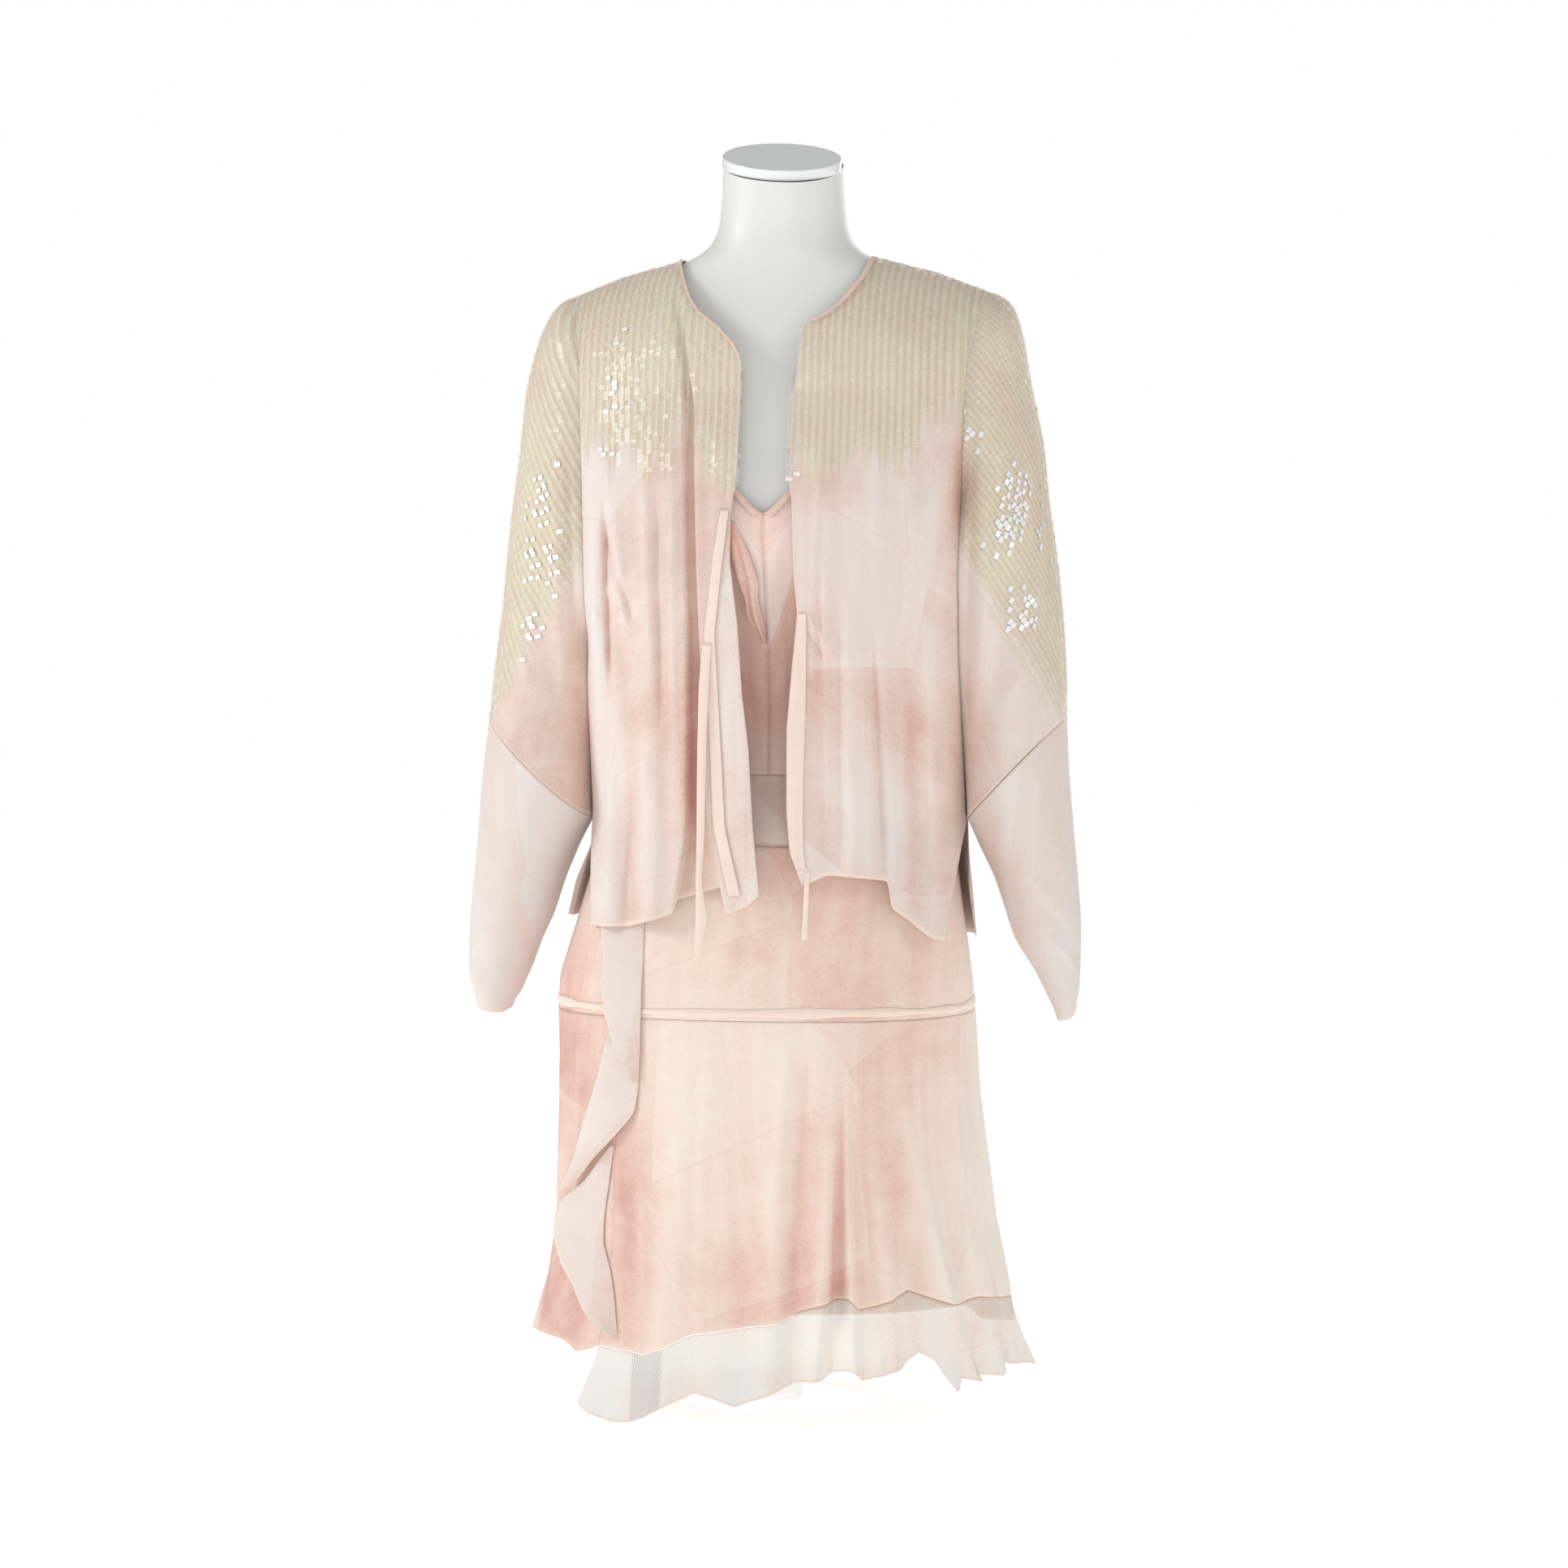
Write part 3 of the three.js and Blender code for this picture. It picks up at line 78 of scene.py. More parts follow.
# Name, azimuth, elevation, distance and width in metres, watts
LAMPS = [
    ("lamp_left", -68, 24, 3.2, 1.1, 34),
    ("lamp_right", 60, 30, 3.2, 1.4, 13),
    ("lamp_top", 5, 60, 3.0, 1.6, 4),
    ("lamp_front", 10, 4, 3.6, 1.0, 9),
    ("lamp_back", 178, 14, 3.0, 2.0, 24),
]
for lamp_name, azimuth, elevation, distance, wide, watts in LAMPS:
    lamp_data = bpy.data.lights.new(lamp_name, "AREA")
    lamp_data.size = wide
    lamp_data.energy = watts
    lamp_data.specular_factor = 0 if lamp_name == "lamp_back" else 1
    lamp = bpy.data.objects.new(lamp_name, lamp_data)
    scene.collection.objects.link(lamp)
    lamp.rotation_mode = "QUATERNION"
    lamp.location, lamp.rotation_quaternion = look_from(azimuth, elevation, distance, CAMERA_AIM)

surround = bpy.data.worlds.new("surround")
scene.world = surround
surround.use_nodes = True
air = surround.node_tree
backdrop = air.nodes["Background"]
backdrop.inputs["Color"].default_value = (1, 1, 1, 1)
seen = air.nodes.new("ShaderNodeLightPath")
strength = air.nodes.new("ShaderNodeMapRange")
strength.inputs["To Min"].default_value = SURROUND_LIGHT
strength.inputs["To Max"].default_value = SURROUND_SEEN
air.links.new(seen.outputs["Is Camera Ray"], strength.inputs["Value"])
air.links.new(strength.outputs["Result"], backdrop.inputs["Strength"])


def linear(hex_colour):
    """Colour for a socket from the web way of writing it"""
    values = [int(hex_colour[i : i + 2], 16) / 255 for i in (1, 3, 5)]
    return [v / 12.92 if v <= 0.04045 else ((v + 0.055) / 1.055) ** 2.4 for v in values] + [1]


def surface(name, roughness, **sockets):
    """Material with one shader, and a function that adds nodes to it"""
    material = bpy.data.materials.new(name)
    material.use_nodes = True
    tree = material.node_tree
    shader = tree.nodes["Principled BSDF"]
    shader.inputs["Roughness"].default_value = roughness
    for socket, value in sockets.items():
        shader.inputs[socket.replace("_", " ")].default_value = value

    def node(kind, settings=None, **inputs):
        """Add a node and give back its outputs; inputs go by name, or by number as in _0"""
        made = tree.nodes.new(kind)
        for key, value in (settings or {}).items():
            setattr(made, key, value)
        for key, value in inputs.items():
            target = made.inputs[int(key[1:])] if key[1:].isdigit() else made.inputs[key]
            if isinstance(value, bpy.types.NodeSocket):
                tree.links.new(value, target)
            else:
                target.default_value = value
        return made.outputs

    def finish(socket, source):
        tree.links.new(source, shader.inputs[socket])

    return material, node, finish


def mottled(name, roughness, shades, scale, detail=2.0, by_cloth=False, grain=None, **sockets):
    """Material whose colour wanders between two shades. Its grain is the scale, strength and depth of a
    fine relief, and by_cloth lays both along the lengths of the cloth."""
    material, node, finish = surface(name, roughness, **sockets)
    where = node("ShaderNodeUVMap")["UV"] if by_cloth else node("ShaderNodeTexCoord")["Object"]
    cloudy = node("ShaderNodeTexNoise", Vector=where, Scale=scale, Detail=detail)["Fac"]
    low, high = (linear(shade) for shade in shades)
    finish("Base Color", node("ShaderNodeMix", {"data_type": "RGBA"}, _0=cloudy, _6=low, _7=high)[2])
    if grain:
        fine, strength, deep = grain
        relief = node("ShaderNodeTexNoise", Vector=where, Scale=fine)["Fac"]
        finish("Normal", node("ShaderNodeBump", Strength=strength, Distance=deep, Height=relief)["Normal"])
    return material


def object_from(bm, name, *materials):
    """Scene object that rides on the part, from a finished mesh"""
    mesh = bpy.data.meshes.new(name)
    bm.to_mesh(mesh)
    bm.free()
    for material in materials:
        mesh.materials.append(material)
    piece = bpy.data.objects.new(name, mesh)
    scene.collection.objects.link(piece)
    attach(piece, "root")
    return piece


floor_mesh = bmesh.new()
bmesh.ops.create_grid(floor_mesh, x_segments=2, y_segments=2, size=9)
floor_data = bpy.data.meshes.new("floor")
floor_mesh.to_mesh(floor_data)
floor_mesh.free()
floor = bpy.data.objects.new("floor", floor_data)
scene.collection.objects.link(floor)
floor_finish, node, finish = surface("floor_white", 0.9, Emission_Color=(1, 1, 1, 1), Emission_Strength=0.6)
grain = node("ShaderNodeTexNoise", Scale=40.0)
pale, paler = linear("#F8F8F8"), linear("#FBFBFB")
finish("Base Color", node("ShaderNodeMix", {"data_type": "RGBA"}, _0=grain["Fac"], _6=pale, _7=paler)[2])
floor_data.materials.append(floor_finish)


# Dress form: a limbless torso with a neck that leans a little forward, made in white fibreglass, with a
# glossy turned cap. It stands on a clear column and a clear round plate, which show faintly below the hem.
POWER = 2.3
# Height, then the reach to the left, to the right, to the front and to the back
FORM = [
    (300, 150, 150, 94, 96), (342, 156, 156, 98, 102), (402, 164, 164, 106, 110),
    (462, 164, 164, 110, 114), (542, 154, 154, 108, 106), (602, 136, 136, 100, 92),
    (662, 122, 122, 94, 82), (722, 128, 128, 104, 86), (782, 142, 142, 124, 96),
    (822, 150, 150, 134, 102), (862, 158, 158, 130, 106), (922, 170, 170, 118, 108),
    (982, 176, 176, 102, 102), (1015, 174, 174, 91, 96), (1040, 166, 166, 80, 88),
    (1056, 150, 150, 74, 82), (1068, 128, 128, 70, 76), (1076, 108, 108, 68, 72), (1084, 92, 92, 68, 68),
    (1092, 76, 76, 68, 64), (1100, 67, 67, 67, 60), (1116, 60, 60, 66, 53), (1144, 57, 57, 68, 46),
    (1172, 56, 56, 70, 42),
]
FORM_LOW = FORM[0][0]
LEAN_FROM = 1100
CAP_RADIUS = 56
CAP_HIGH = 10
CAP_TILT = math.radians(18)
CAP_ROLL = math.radians(4)
CAP_CENTRE = -14
NECK_TOP = 1172
SEAM = 0.3
PLATE_RADIUS = 96
PLATE_HIGH = 6
COLUMN_RADIUS = 17


def curve(rows, column=1, soften=6):
    """Smooth run of one column of a table along its first column"""
    table = np.array(sorted(rows), float)
    steps = np.arange(table[0, 0], table[-1, 0] + 0.5, 0.5)
    raw = np.interp(steps, table[:, 0], table[:, column])
    span = np.arange(-6 * soften, 6 * soften + 1)
    weight = np.exp(-((span / (2 * soften)) ** 2))
    padded = np.pad(raw, 6 * soften, mode="reflect", reflect_type="odd")
    smooth = np.convolve(padded, weight / weight.sum(), mode="valid")
    return lambda place: np.interp(place, steps, smooth)


def section(rows, soften=5):
    return [curve(rows, column, soften) for column in (1, 2, 3, 4)]


def ring(rows, z, turn, out=0):
    """Points round a body section at a height and a turn in degrees from the front, moved out"""
    sine, cosine = np.sin(np.radians(turn)), np.cos(np.radians(turn))
    wide = np.where(sine < 0, rows[0](z), rows[1](z)) + out
    deep = np.where(cosine < 0, rows[3](z), rows[2](z)) + out
    x = wide * np.sign(sine) * np.abs(sine) ** (2 / POWER)
    y = -deep * np.sign(cosine) * np.abs(cosine) ** (2 / POWER)
    return x, y, z + 0 * x


def step(start, end, value):
    share = np.clip((value - start) / (end - start), 0, 1)
    return share * share * (3 - 2 * share)


def ripple(a, b, wide, tall, size, seed):
    """Soft uneven swell of the cloth, with its own width and height"""
    flat = [noise.noise(Vector((p / wide, q / tall, seed))) for p, q in zip(a.ravel(), b.ravel())]
    return size * np.array(flat).reshape(a.shape)


def creases(lines, a, b):
    """Troughs and ridges along straight runs, each with its ends, half width and rise"""
    total = np.zeros_like(a)
    for a1, b1, a2, b2, wide, rise in lines:
        run = math.hypot(a2 - a1, b2 - b1)
        along = ((a - a1) * (a2 - a1) + (b - b1) * (b2 - b1)) / run**2
        away = ((a - a1) * (b2 - b1) - (b - b1) * (a2 - a1)) / run
        total += rise * np.exp(-((away / wide) ** 2)) * step(-0.12, 0.2, np.minimum(along, 1 - along))
    return total


def spots(places, a, b):
    """Soft round areas, each with its centre, half sizes and strength"""
    total = np.zeros_like(a)
    for a0, b0, wide, tall, strength in places:
        total += strength * np.exp(-(((a - a0) / wide) ** 2) - ((b - b0) / tall) ** 2)
    return total


CHIFFON_THICK = 0.7
charts = {}


def grid_mesh(
    name, across, down, place, material,
    inside=(0, 0), tube=False, thick=CHIFFON_THICK,
    dye=None, level=False,
):
    """Cloth from a grid whose points move to place(across, down), with lengths along it in the UV map.
    The dye function gives three values a point: how pink it is, with painted fold shade in some pieces,
    how far inside the beaded yoke, and how near a hem."""
    bm = bmesh.new()
    bmesh.ops.create_grid(bm, x_segments=across, y_segments=down, size=0.5)
    bm.verts.ensure_lookup_table()
    flat = np.array([v.co[:2] for v in bm.verts])
    u, v = flat[:, 0] + 0.5, 0.5 - flat[:, 1]
    column, row = np.rint(u * across).astype(int), np.rint(v * down).astype(int)
    ordered_u = np.zeros((down + 1, across + 1))
    ordered_v = np.zeros((down + 1, across + 1))
    ordered_u[row, column], ordered_v[row, column] = u, v
    points = np.stack(place(ordered_u, ordered_v), -1) * MILLIMETRE
    sideways = np.linalg.norm(np.diff(points, axis=1), axis=2)
    downwards = np.linalg.norm(np.diff(points, axis=0), axis=2)
    s = np.concatenate([np.zeros((down + 1, 1)), np.cumsum(sideways, axis=1)], 1)
    s = points[..., 0] if level else s - s[:, -1:] / 2
    t = np.concatenate([np.zeros((1, across + 1)), np.cumsum(downwards, axis=0)], 0)
    dyed = np.zeros((down + 1, across + 1, 3))
    if dye is not None:
        millimetres = points / MILLIMETRE
        for k, value in enumerate(dye(millimetres[..., 0], millimetres[..., 2], ordered_u, ordered_v)):
            dyed[..., k] = value
    layer = bm.verts.layers.float_color.new("Dye")
    for vert, i, j in zip(bm.verts, row, column):
        vert.co = points[i, j]
        vert[layer] = (*dyed[i, j], 1)
    uv = bm.loops.layers.uv.new("UVMap")
    for face in bm.faces:
        for loop in face.loops:
            k = loop.vert.index
            loop[uv].uv = (s[row[k], column[k]], t[row[k], column[k]])
    bm.normal_update()
    outward = 0
    for face in bm.faces:
        centre = face.calc_center_median()
        away = Vector((centre.x - inside[0], centre.y - inside[1], 0))
        outward += face.calc_area() * face.normal.dot(away)
    if outward < 0:
        bmesh.ops.reverse_faces(bm, faces=bm.faces)
    if tube:
        bmesh.ops.remove_doubles(bm, verts=bm.verts, dist=1e-5)
    for face in bm.faces:
        face.smooth = True
    piece = object_from(bm, name, material)
    if thick:
        shell = piece.modifiers.new("wall", "SOLIDIFY")
        shell.thickness = thick * MILLIMETRE
        shell.offset = 1
    charts[name] = {"points": points, "s": s, "t": t, "dyed": dyed}
    return piece


fibreglass = mottled(
    "fibreglass_white",
    0.42,
    ("#E2E3DF", "#ECECE8"),
    9.0,
    4.0,
    grain=(260.0, 0.06, 0.0004),
    Coat_Weight=0.15,
    Coat_Roughness=0.35,
)
gloss = mottled("cap_gloss", 0.12, ("#EDEFF0", "#F4F5F6"), 22.0, 3.0, Coat_Weight=0.8, Coat_Roughness=0.06)

form = section(FORM, 4)


def torso_place(u, v):
    height = FORM_LOW + (NECK_TOP - FORM_LOW) * (1 - v)
    x, y, z = ring(form, height, 360 * u)
    lean = math.tan(CAP_TILT) * (y - CAP_CENTRE) - math.tan(CAP_ROLL) * x
    return x, y, z + step(LEAN_FROM, NECK_TOP, height) * lean


torso = grid_mesh("torso_smooth", 96, 130, torso_place, fibreglass, tube=True, thick=0)
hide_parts("form_torso")


def turned(name, radius, high, soft, material, matrix):
    """Turned disc or column with softened rims, set on its place"""
    bm = bmesh.new()
    bmesh.ops.create_cone(bm, cap_ends=True, segments=96, radius1=radius, radius2=radius, depth=high)
    rims = [e for e in bm.edges if abs(e.verts[0].co.z - e.verts[1].co.z) < 1e-6 and len(e.link_faces) == 2]
    bmesh.ops.bevel(bm, geom=rims, offset=soft, segments=4, profile=0.5, affect="EDGES", material=-1)
    bmesh.ops.transform(bm, verts=bm.verts, matrix=Matrix.Translation((0, 0, high / 2)))
    bmesh.ops.transform(bm, verts=bm.verts, matrix=matrix @ Matrix.Scale(MILLIMETRE, 4))
    for face in bm.faces:
        face.smooth = len(face.verts) == 4
    return object_from(bm, name, material)


def lifted(x, y, z):
    return Matrix.Translation(Vector((x, y, z)) * MILLIMETRE)


acrylic = mottled("acrylic_clear", 0.08, ("#E9EDED", "#FAFCFC"), 60.0, 3.0, Alpha=0.16, IOR=1.49)
leaning = Matrix.Rotation(CAP_ROLL, 4, "Y") @ Matrix.Rotation(CAP_TILT, 4, "X")
cap = turned("cap_turned", CAP_RADIUS, CAP_HIGH, 0.8, gloss, lifted(0, CAP_CENTRE, NECK_TOP) @ leaning)
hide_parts("form_neck_cap")
column_high = FORM_LOW - PLATE_HIGH - 2 * SEAM
column = turned("column_plain", COLUMN_RADIUS, column_high, 1, acrylic, lifted(0, 0, PLATE_HIGH + SEAM))
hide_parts("form_pole")
plate = turned("plate_round", PLATE_RADIUS, PLATE_HIGH, 1.5, acrylic, lifted(0, 0, 0))
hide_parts("form_base")


# Slip dress, bodice: crepe chiffon dyed in uneven pinks, cut as two fronts with a centre seam and a back.
# The neck edges and straps are bound in the same cloth, and a folded end hangs from the left neck edge.
INNER = 0.25
BODICE_OFF = 5.5
BODICE_HEM = 606
V_POINT = 846
STRAP_JOIN = 955
UNDERARM = 850
BACK_TOP = 896
NECK_TURN = 30
ROW_PITCH = 0.007
STITCH_PITCH = 0.0026
STRIPE_PITCH = 0.0028


def chiffon(
    name, shades, alpha, patch, seams,
    beaded=False, slant=0.0, striped=False, hem="#F2DECF", seed=0.0,
):
    """Hand-dyed crepe chiffon in pieced patches: shades run from pale to stained, with painted shade
    of small folds in soft lengthwise streaks, and in fold troughs where the first of its three values a
    point carries it.
    A beaded one turns to a greenish ground with rows of pale stitches inside the yoke, at a slant in
    degrees, with painted shade in fine ticks where the plates overlap."""
    material, node, finish = surface(name, 0.78, Sheen_Weight=0.25, Sheen_Roughness=0.4, Alpha=alpha)
    math_node = lambda kind, *values: node(
        "ShaderNodeMath", {"operation": kind}, **{f"_{k}": value for k, value in enumerate(values)}
    )[0]
    mix = lambda share, a, b: node("ShaderNodeMix", {"data_type": "RGBA"}, _0=share, _6=a, _7=b)[2]
    laid = node("ShaderNodeUVMap")["UV"]
    moved = node("ShaderNodeMapping", Vector=laid, Location=(seed, seed * 0.7, 0))["Vector"]
    # Per-point values: how pink, with painted fold shade in some pieces; yoke share; nearness to a hem
    dyed = node("ShaderNodeAttribute", {"attribute_name": "Dye"})["Color"]
    dye = node("ShaderNodeSeparateColor", Color=dyed)
    cells = node("ShaderNodeTexVoronoi", {"voronoi_dimensions": "2D"}, Vector=moved, Scale=patch)
    cell = node("ShaderNodeSeparateColor", Color=cells["Color"])["Red"]
    edge = node(
        "ShaderNodeTexVoronoi",
        {"voronoi_dimensions": "2D", "feature": "DISTANCE_TO_EDGE"},
        Vector=moved,
        Scale=patch,
    )["Distance"]
    large = node("ShaderNodeTexNoise", Vector=moved, Scale=7.0, Detail=4.0, Roughness=0.6)["Fac"]
    middle = node("ShaderNodeTexNoise", Vector=moved, Scale=42.0, Detail=5.0, Roughness=0.7)["Fac"]
    crepe = node("ShaderNodeTexNoise", Vector=moved, Scale=520.0, Detail=2.0)["Fac"]
    # Soft streaks stretched along the cloth: painted shade of small drape folds
    drawn = node("ShaderNodeMapping", Vector=moved, Scale=(70, 3.2, 1))["Vector"]
    painted_fold_streaks = node("ShaderNodeTexNoise", Vector=drawn, Scale=1.0, Detail=2.0)["Fac"]
    tone = math_node("MULTIPLY_ADD", cell, 0.34, dye["Red"])
    tone = math_node("MULTIPLY_ADD", painted_fold_streaks, 0.3, tone)
    tone = math_node("MULTIPLY_ADD", large, 0.7, tone)
    tone = math_node("MULTIPLY_ADD", middle, 0.5, tone)
    tone = math_node("SUBTRACT", tone, 0.8)
    ramp = node("ShaderNodeValToRGB", Fac=tone)
    colours = ramp[0].node.color_ramp
    while len(colours.elements) < len(shades):
        colours.elements.new(0.5)
    for element, (place, shade) in zip(colours.elements, shades):
        element.position = place
        element.color = linear(shade)
    speck = math_node("MULTIPLY", node("ShaderNodeMapRange", _0=crepe, _1=0.5, _2=0.72)[0], tone)
    cloth_colour = mix(math_node("MULTIPLY", speck, 0.5), ramp["Color"], linear("#BE8478"))
    seam_line = node("ShaderNodeMapRange", _0=edge, _1=0.01, _2=0.003, _3=0.0, _4=0.24 * seams)[0]
    cloth_colour = mix(seam_line, cloth_colour, linear("#D3AC9C"))
    seam_band = node("ShaderNodeMapRange", _0=edge, _1=0.06, _2=0.05, _3=0.0, _4=0.16 * seams)[0]
    cloth_colour = mix(seam_band, cloth_colour, linear("#F3E6DA"))
    height = math_node("MULTIPLY_ADD", seam_line, -0.4, crepe)
    if beaded:
        angled = node("ShaderNodeMapping", Vector=laid, Rotation=(0, 0, math.radians(slant)))["Vector"]
        way = node("ShaderNodeSeparateXYZ", Vector=angled)
        rows = math_node("MULTIPLY", way["X"], 1 / ROW_PITCH)
        row = math_node("FLOOR", rows)
        within = math_node("ABSOLUTE", math_node("SUBTRACT", math_node("FRACT", rows), 0.5))
        uneven = node("ShaderNodeTexWhiteNoise", {"noise_dimensions": "1D"}, W=row)["Value"]
        reach = math_node("MULTIPLY_ADD", uneven, 0.22, dye["Green"])
        inside = node("ShaderNodeMapRange", _0=reach, _1=0.56, _2=0.68)[0]
        stained = node("ShaderNodeTexNoise", Vector=moved, Scale=11.0, Detail=5.0, Roughness=0.65)["Fac"]
        stain = node("ShaderNodeMapRange", _0=stained, _1=0.34, _2=0.6)[0]
        ground = mix(stain, linear("#DDD6BB"), linear("#DCC5B0"))
        along = math_node("FRACT", math_node("MULTIPLY", way["Y"], 1 / STITCH_PITCH))
        ticks = math_node("ABSOLUTE", math_node("SUBTRACT", along, 0.5))
        tick = node("ShaderNodeMapRange", _0=ticks, _1=0.18, _2=0.34)[0]
        line = node("ShaderNodeMapRange", _0=within, _1=0.1, _2=0.05)[0]
        # Darker fine ticks where the plates overlap: painted shade between the paillettes
        ground = mix(math_node("MULTIPLY", tick, 0.14), ground, linear("#B9AC8E"))
        side_line = node("ShaderNodeMapRange", _0=within, _1=0.36, _2=0.5, _3=0.0, _4=0.2)[0]
        ground = mix(side_line, ground, linear("#B3A586"))
        pale = math_node("MULTIPLY", line, math_node("MULTIPLY_ADD", tick, 0.55, 0.3))
        ground = mix(pale, ground, linear("#F7F1DD"))
        far_in = math_node("MULTIPLY_ADD", middle, 0.3, reach)
        faded = node("ShaderNodeMapRange", _0=far_in, _1=0.74, _2=1.02)[0]
        ground = mix(faded, mix(0.35, cloth_colour, ground), ground)
        cloth_colour = mix(inside, cloth_colour, ground)
        raised = math_node("MULTIPLY", math_node("ADD", math_node("MULTIPLY", line, tick), within), inside)
        height = math_node("MULTIPLY_ADD", raised, 1.4, height)
    if striped:
        across = node("ShaderNodeSeparateXYZ", Vector=laid)["X"]
        fine = math_node("FRACT", math_node("MULTIPLY", across, 1 / STRIPE_PITCH))
        stripe = node("ShaderNodeMapRange", _0=fine, _1=0.35, _2=0.6, _3=0.25, _4=1.0)[0]
        cloth_colour = mix(math_node("MULTIPLY", dye["Green"], stripe), cloth_colour, linear("#B9B6B5"))
    cloth_colour = mix(math_node("MULTIPLY", dye["Blue"], 0.75), cloth_colour, linear(hem))
    finish("Base Color", cloth_colour)
    finish("Normal", node("ShaderNodeBump", Strength=0.35, Distance=0.0005, Height=height)["Normal"])
    return material


PINKS = [(0.0, "#F6E6DD"), (0.4, "#F4D8CC"), (0.72, "#EBBEB0"), (1.0, "#DA9F90")]
BLUSH = [(0.0, "#F0E4D7"), (0.36, "#EDD7CA"), (0.66, "#E4C0B2"), (1.0, "#CE998B")]
bodice_chiffon = chiffon("bodice_chiffon", PINKS, 1.0, patch=8.0, seams=0.7, seed=1.3)
skirt_chiffon = chiffon("skirt_chiffon", BLUSH, 1.0, patch=6.0, seams=0.55, seed=4.1)

CREASES_BODICE = [
    (-40, 820, -22, 640, 4, 1.6), (-28, 780, -14, 620, 3, -1.4), (-10, 740, -7, 640, 2.5, 1.2),
    (10, 760, 16, 612, 3, 1.5), (18, 830, 26, 640, 3.5, -1.6), (36, 800, 40, 620, 4, 1.6),
    (-70, 800, -62, 620, 6, 1.8), (72, 810, 66, 620, 6, 1.8),
]


def front_top(turn):
    away = np.abs(turn)
    armhole = UNDERARM + (STRAP_JOIN - UNDERARM) * np.clip((90 - away) / 50, 0, 1) ** 1.7
    neck = V_POINT + (STRAP_JOIN - V_POINT) * np.minimum(away / NECK_TURN, 1)
    return np.where(away <= 40, neck, armhole)


def back_top(turn):
    away = np.abs(turn - 180)
    return BACK_TOP + (UNDERARM - BACK_TOP) * np.clip((away - 45) / 45, 0, 1)


def bodice(turn, z, out=0):
    x, _, _ = ring(form, z, turn, BODICE_OFF)
    lift = creases(CREASES_BODICE, x, z) * step(80, 60, np.abs(((turn + 180) % 360) - 180))
    return ring(form, z, turn, BODICE_OFF + INNER + out + lift)


def bodice_dye(x, z, u, v):
    pink = 0.2 + spots([(-8, 700, 40, 60, 0.2), (30, 760, 30, 60, 0.16), (-60, 640, 40, 40, 0.1)], x, z)
    return pink, 0 * x, step(0.985, 1, v) * 0.6


for side, side_name in SIDES:

    def front_place(u, v, side=side):
        turn = side * (90 * u - 0.1)
        top = front_top(turn)
        return bodice(turn, top + (BODICE_HEM - top) * v)

    piece = grid_mesh(f"slip_front_{side_name}", 60, 90, front_place, bodice_chiffon, dye=bodice_dye)
    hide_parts(f"dress_bodice_front_{side_name}")


def back_place(u, v):
    turn = 90.1 + 179.8 * u
    top = back_top(turn)
    return bodice(turn, top + (BODICE_HEM - top) * v)


slip_back = grid_mesh("slip_back", 110, 60, back_place, bodice_chiffon, dye=bodice_dye)
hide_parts("dress_bodice_back")

STRAP_HALF = 9
STRAP_FRONT = 82
STRAP_TOP = 121
STRAP_BACK = 90
SHOULDER_PIVOT = 960
FORM_SHOULDER_TOP = 1110


def inside_form(x, y, z):
    wide = form[0](z)
    deep = np.where(y > 0, form[3](z), form[2](z))
    return ((np.abs(x) / wide) ** POWER + (np.abs(y) / deep) ** POWER < 1) & (z < FORM_SHOULDER_TOP)


def over_shoulder(x, angle, off):
    """Point on the form's shoulder seen from inside it at an angle from the front, moved out"""
    away_y, away_z = -np.cos(angle), np.sin(angle)
    near, far = np.zeros_like(x), np.full_like(x, 200)
    for _ in range(24):
        middle = (near + far) / 2
        within = inside_form(x, away_y * middle, SHOULDER_PIVOT + away_z * middle)
        near, far = np.where(within, middle, near), np.where(within, far, middle)
    reach = near + off
    return x, away_y * reach, SHOULDER_PIVOT + away_z * reach


binding = mottled(
    "binding_silk",
    0.55,
    ("#DDBBAB", "#ECD3C5"),
    60.0,
    4.0,
    by_cloth=True,
    grain=(900.0, 0.25, 0.0003),
    Sheen_Weight=0.3,
)

for side, side_name in SIDES:

    def strap_place(u, v, side=side):
        angle = np.radians(1 + 204 * v)
        middle = np.where(
            v < 0.5,
            STRAP_FRONT + (STRAP_TOP - STRAP_FRONT) * v * 2,
            STRAP_TOP + (STRAP_BACK - STRAP_TOP) * (v * 2 - 1),
        )
        ends = np.clip(np.maximum(1 - v / 0.15, (v - 0.85) / 0.15), 0, 1)
        lift = 1.6 + (BODICE_OFF - 1.6) * ends
        return over_shoulder(side * middle + (0.5 - u) * 2 * STRAP_HALF, angle, lift + INNER)

    piece = grid_mesh(f"slip_strap_{side_name}", 6, 60, strap_place, binding, thick=0.7)
    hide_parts(f"dress_strap_{side_name}")

    def neck_place(u, v, side=side):
        turn = NECK_TURN + (0.4 - NECK_TURN) * v
        shifted = side * (turn + 1.6 * (1 - u))
        drop = 4 + (0.6 - 4) * u
        bow = 0.7 * np.sin(np.pi * u)
        return ring(form, front_top(turn) - drop, shifted, BODICE_OFF + 2 + bow)

    edge_piece = grid_mesh(f"slip_neck_edge_{side_name}", 6, 60, neck_place, binding, thick=0.6)
    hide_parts(f"dress_neck_binding_{side_name}")

# Height, left edge, right edge, how far it stands off
DRAPE = [
    (838, -31, -26, 2), (810, -29, -13, 4), (784, -23, -5, 6), (767, -17, -6, 7), (754, -17, -3, 7),
    (727, -3, 1, 5),
]
drape_left, drape_right, drape_off = (curve(DRAPE, k, 3) for k in (1, 2, 3))


def depth_of(rows, z, x, face, out):
    """How far a body section reaches in front or behind at a distance from the centre"""
    wide = np.where(x < 0, rows[0](z), rows[1](z)) + out
    share = np.clip(np.abs(x) / wide, 0, 1)
    depth = (rows[2 if face == "front" else 3](z) + out) * (1 - share**POWER) ** (1 / POWER)
    return np.where(np.abs(x) < wide, depth, -1000)


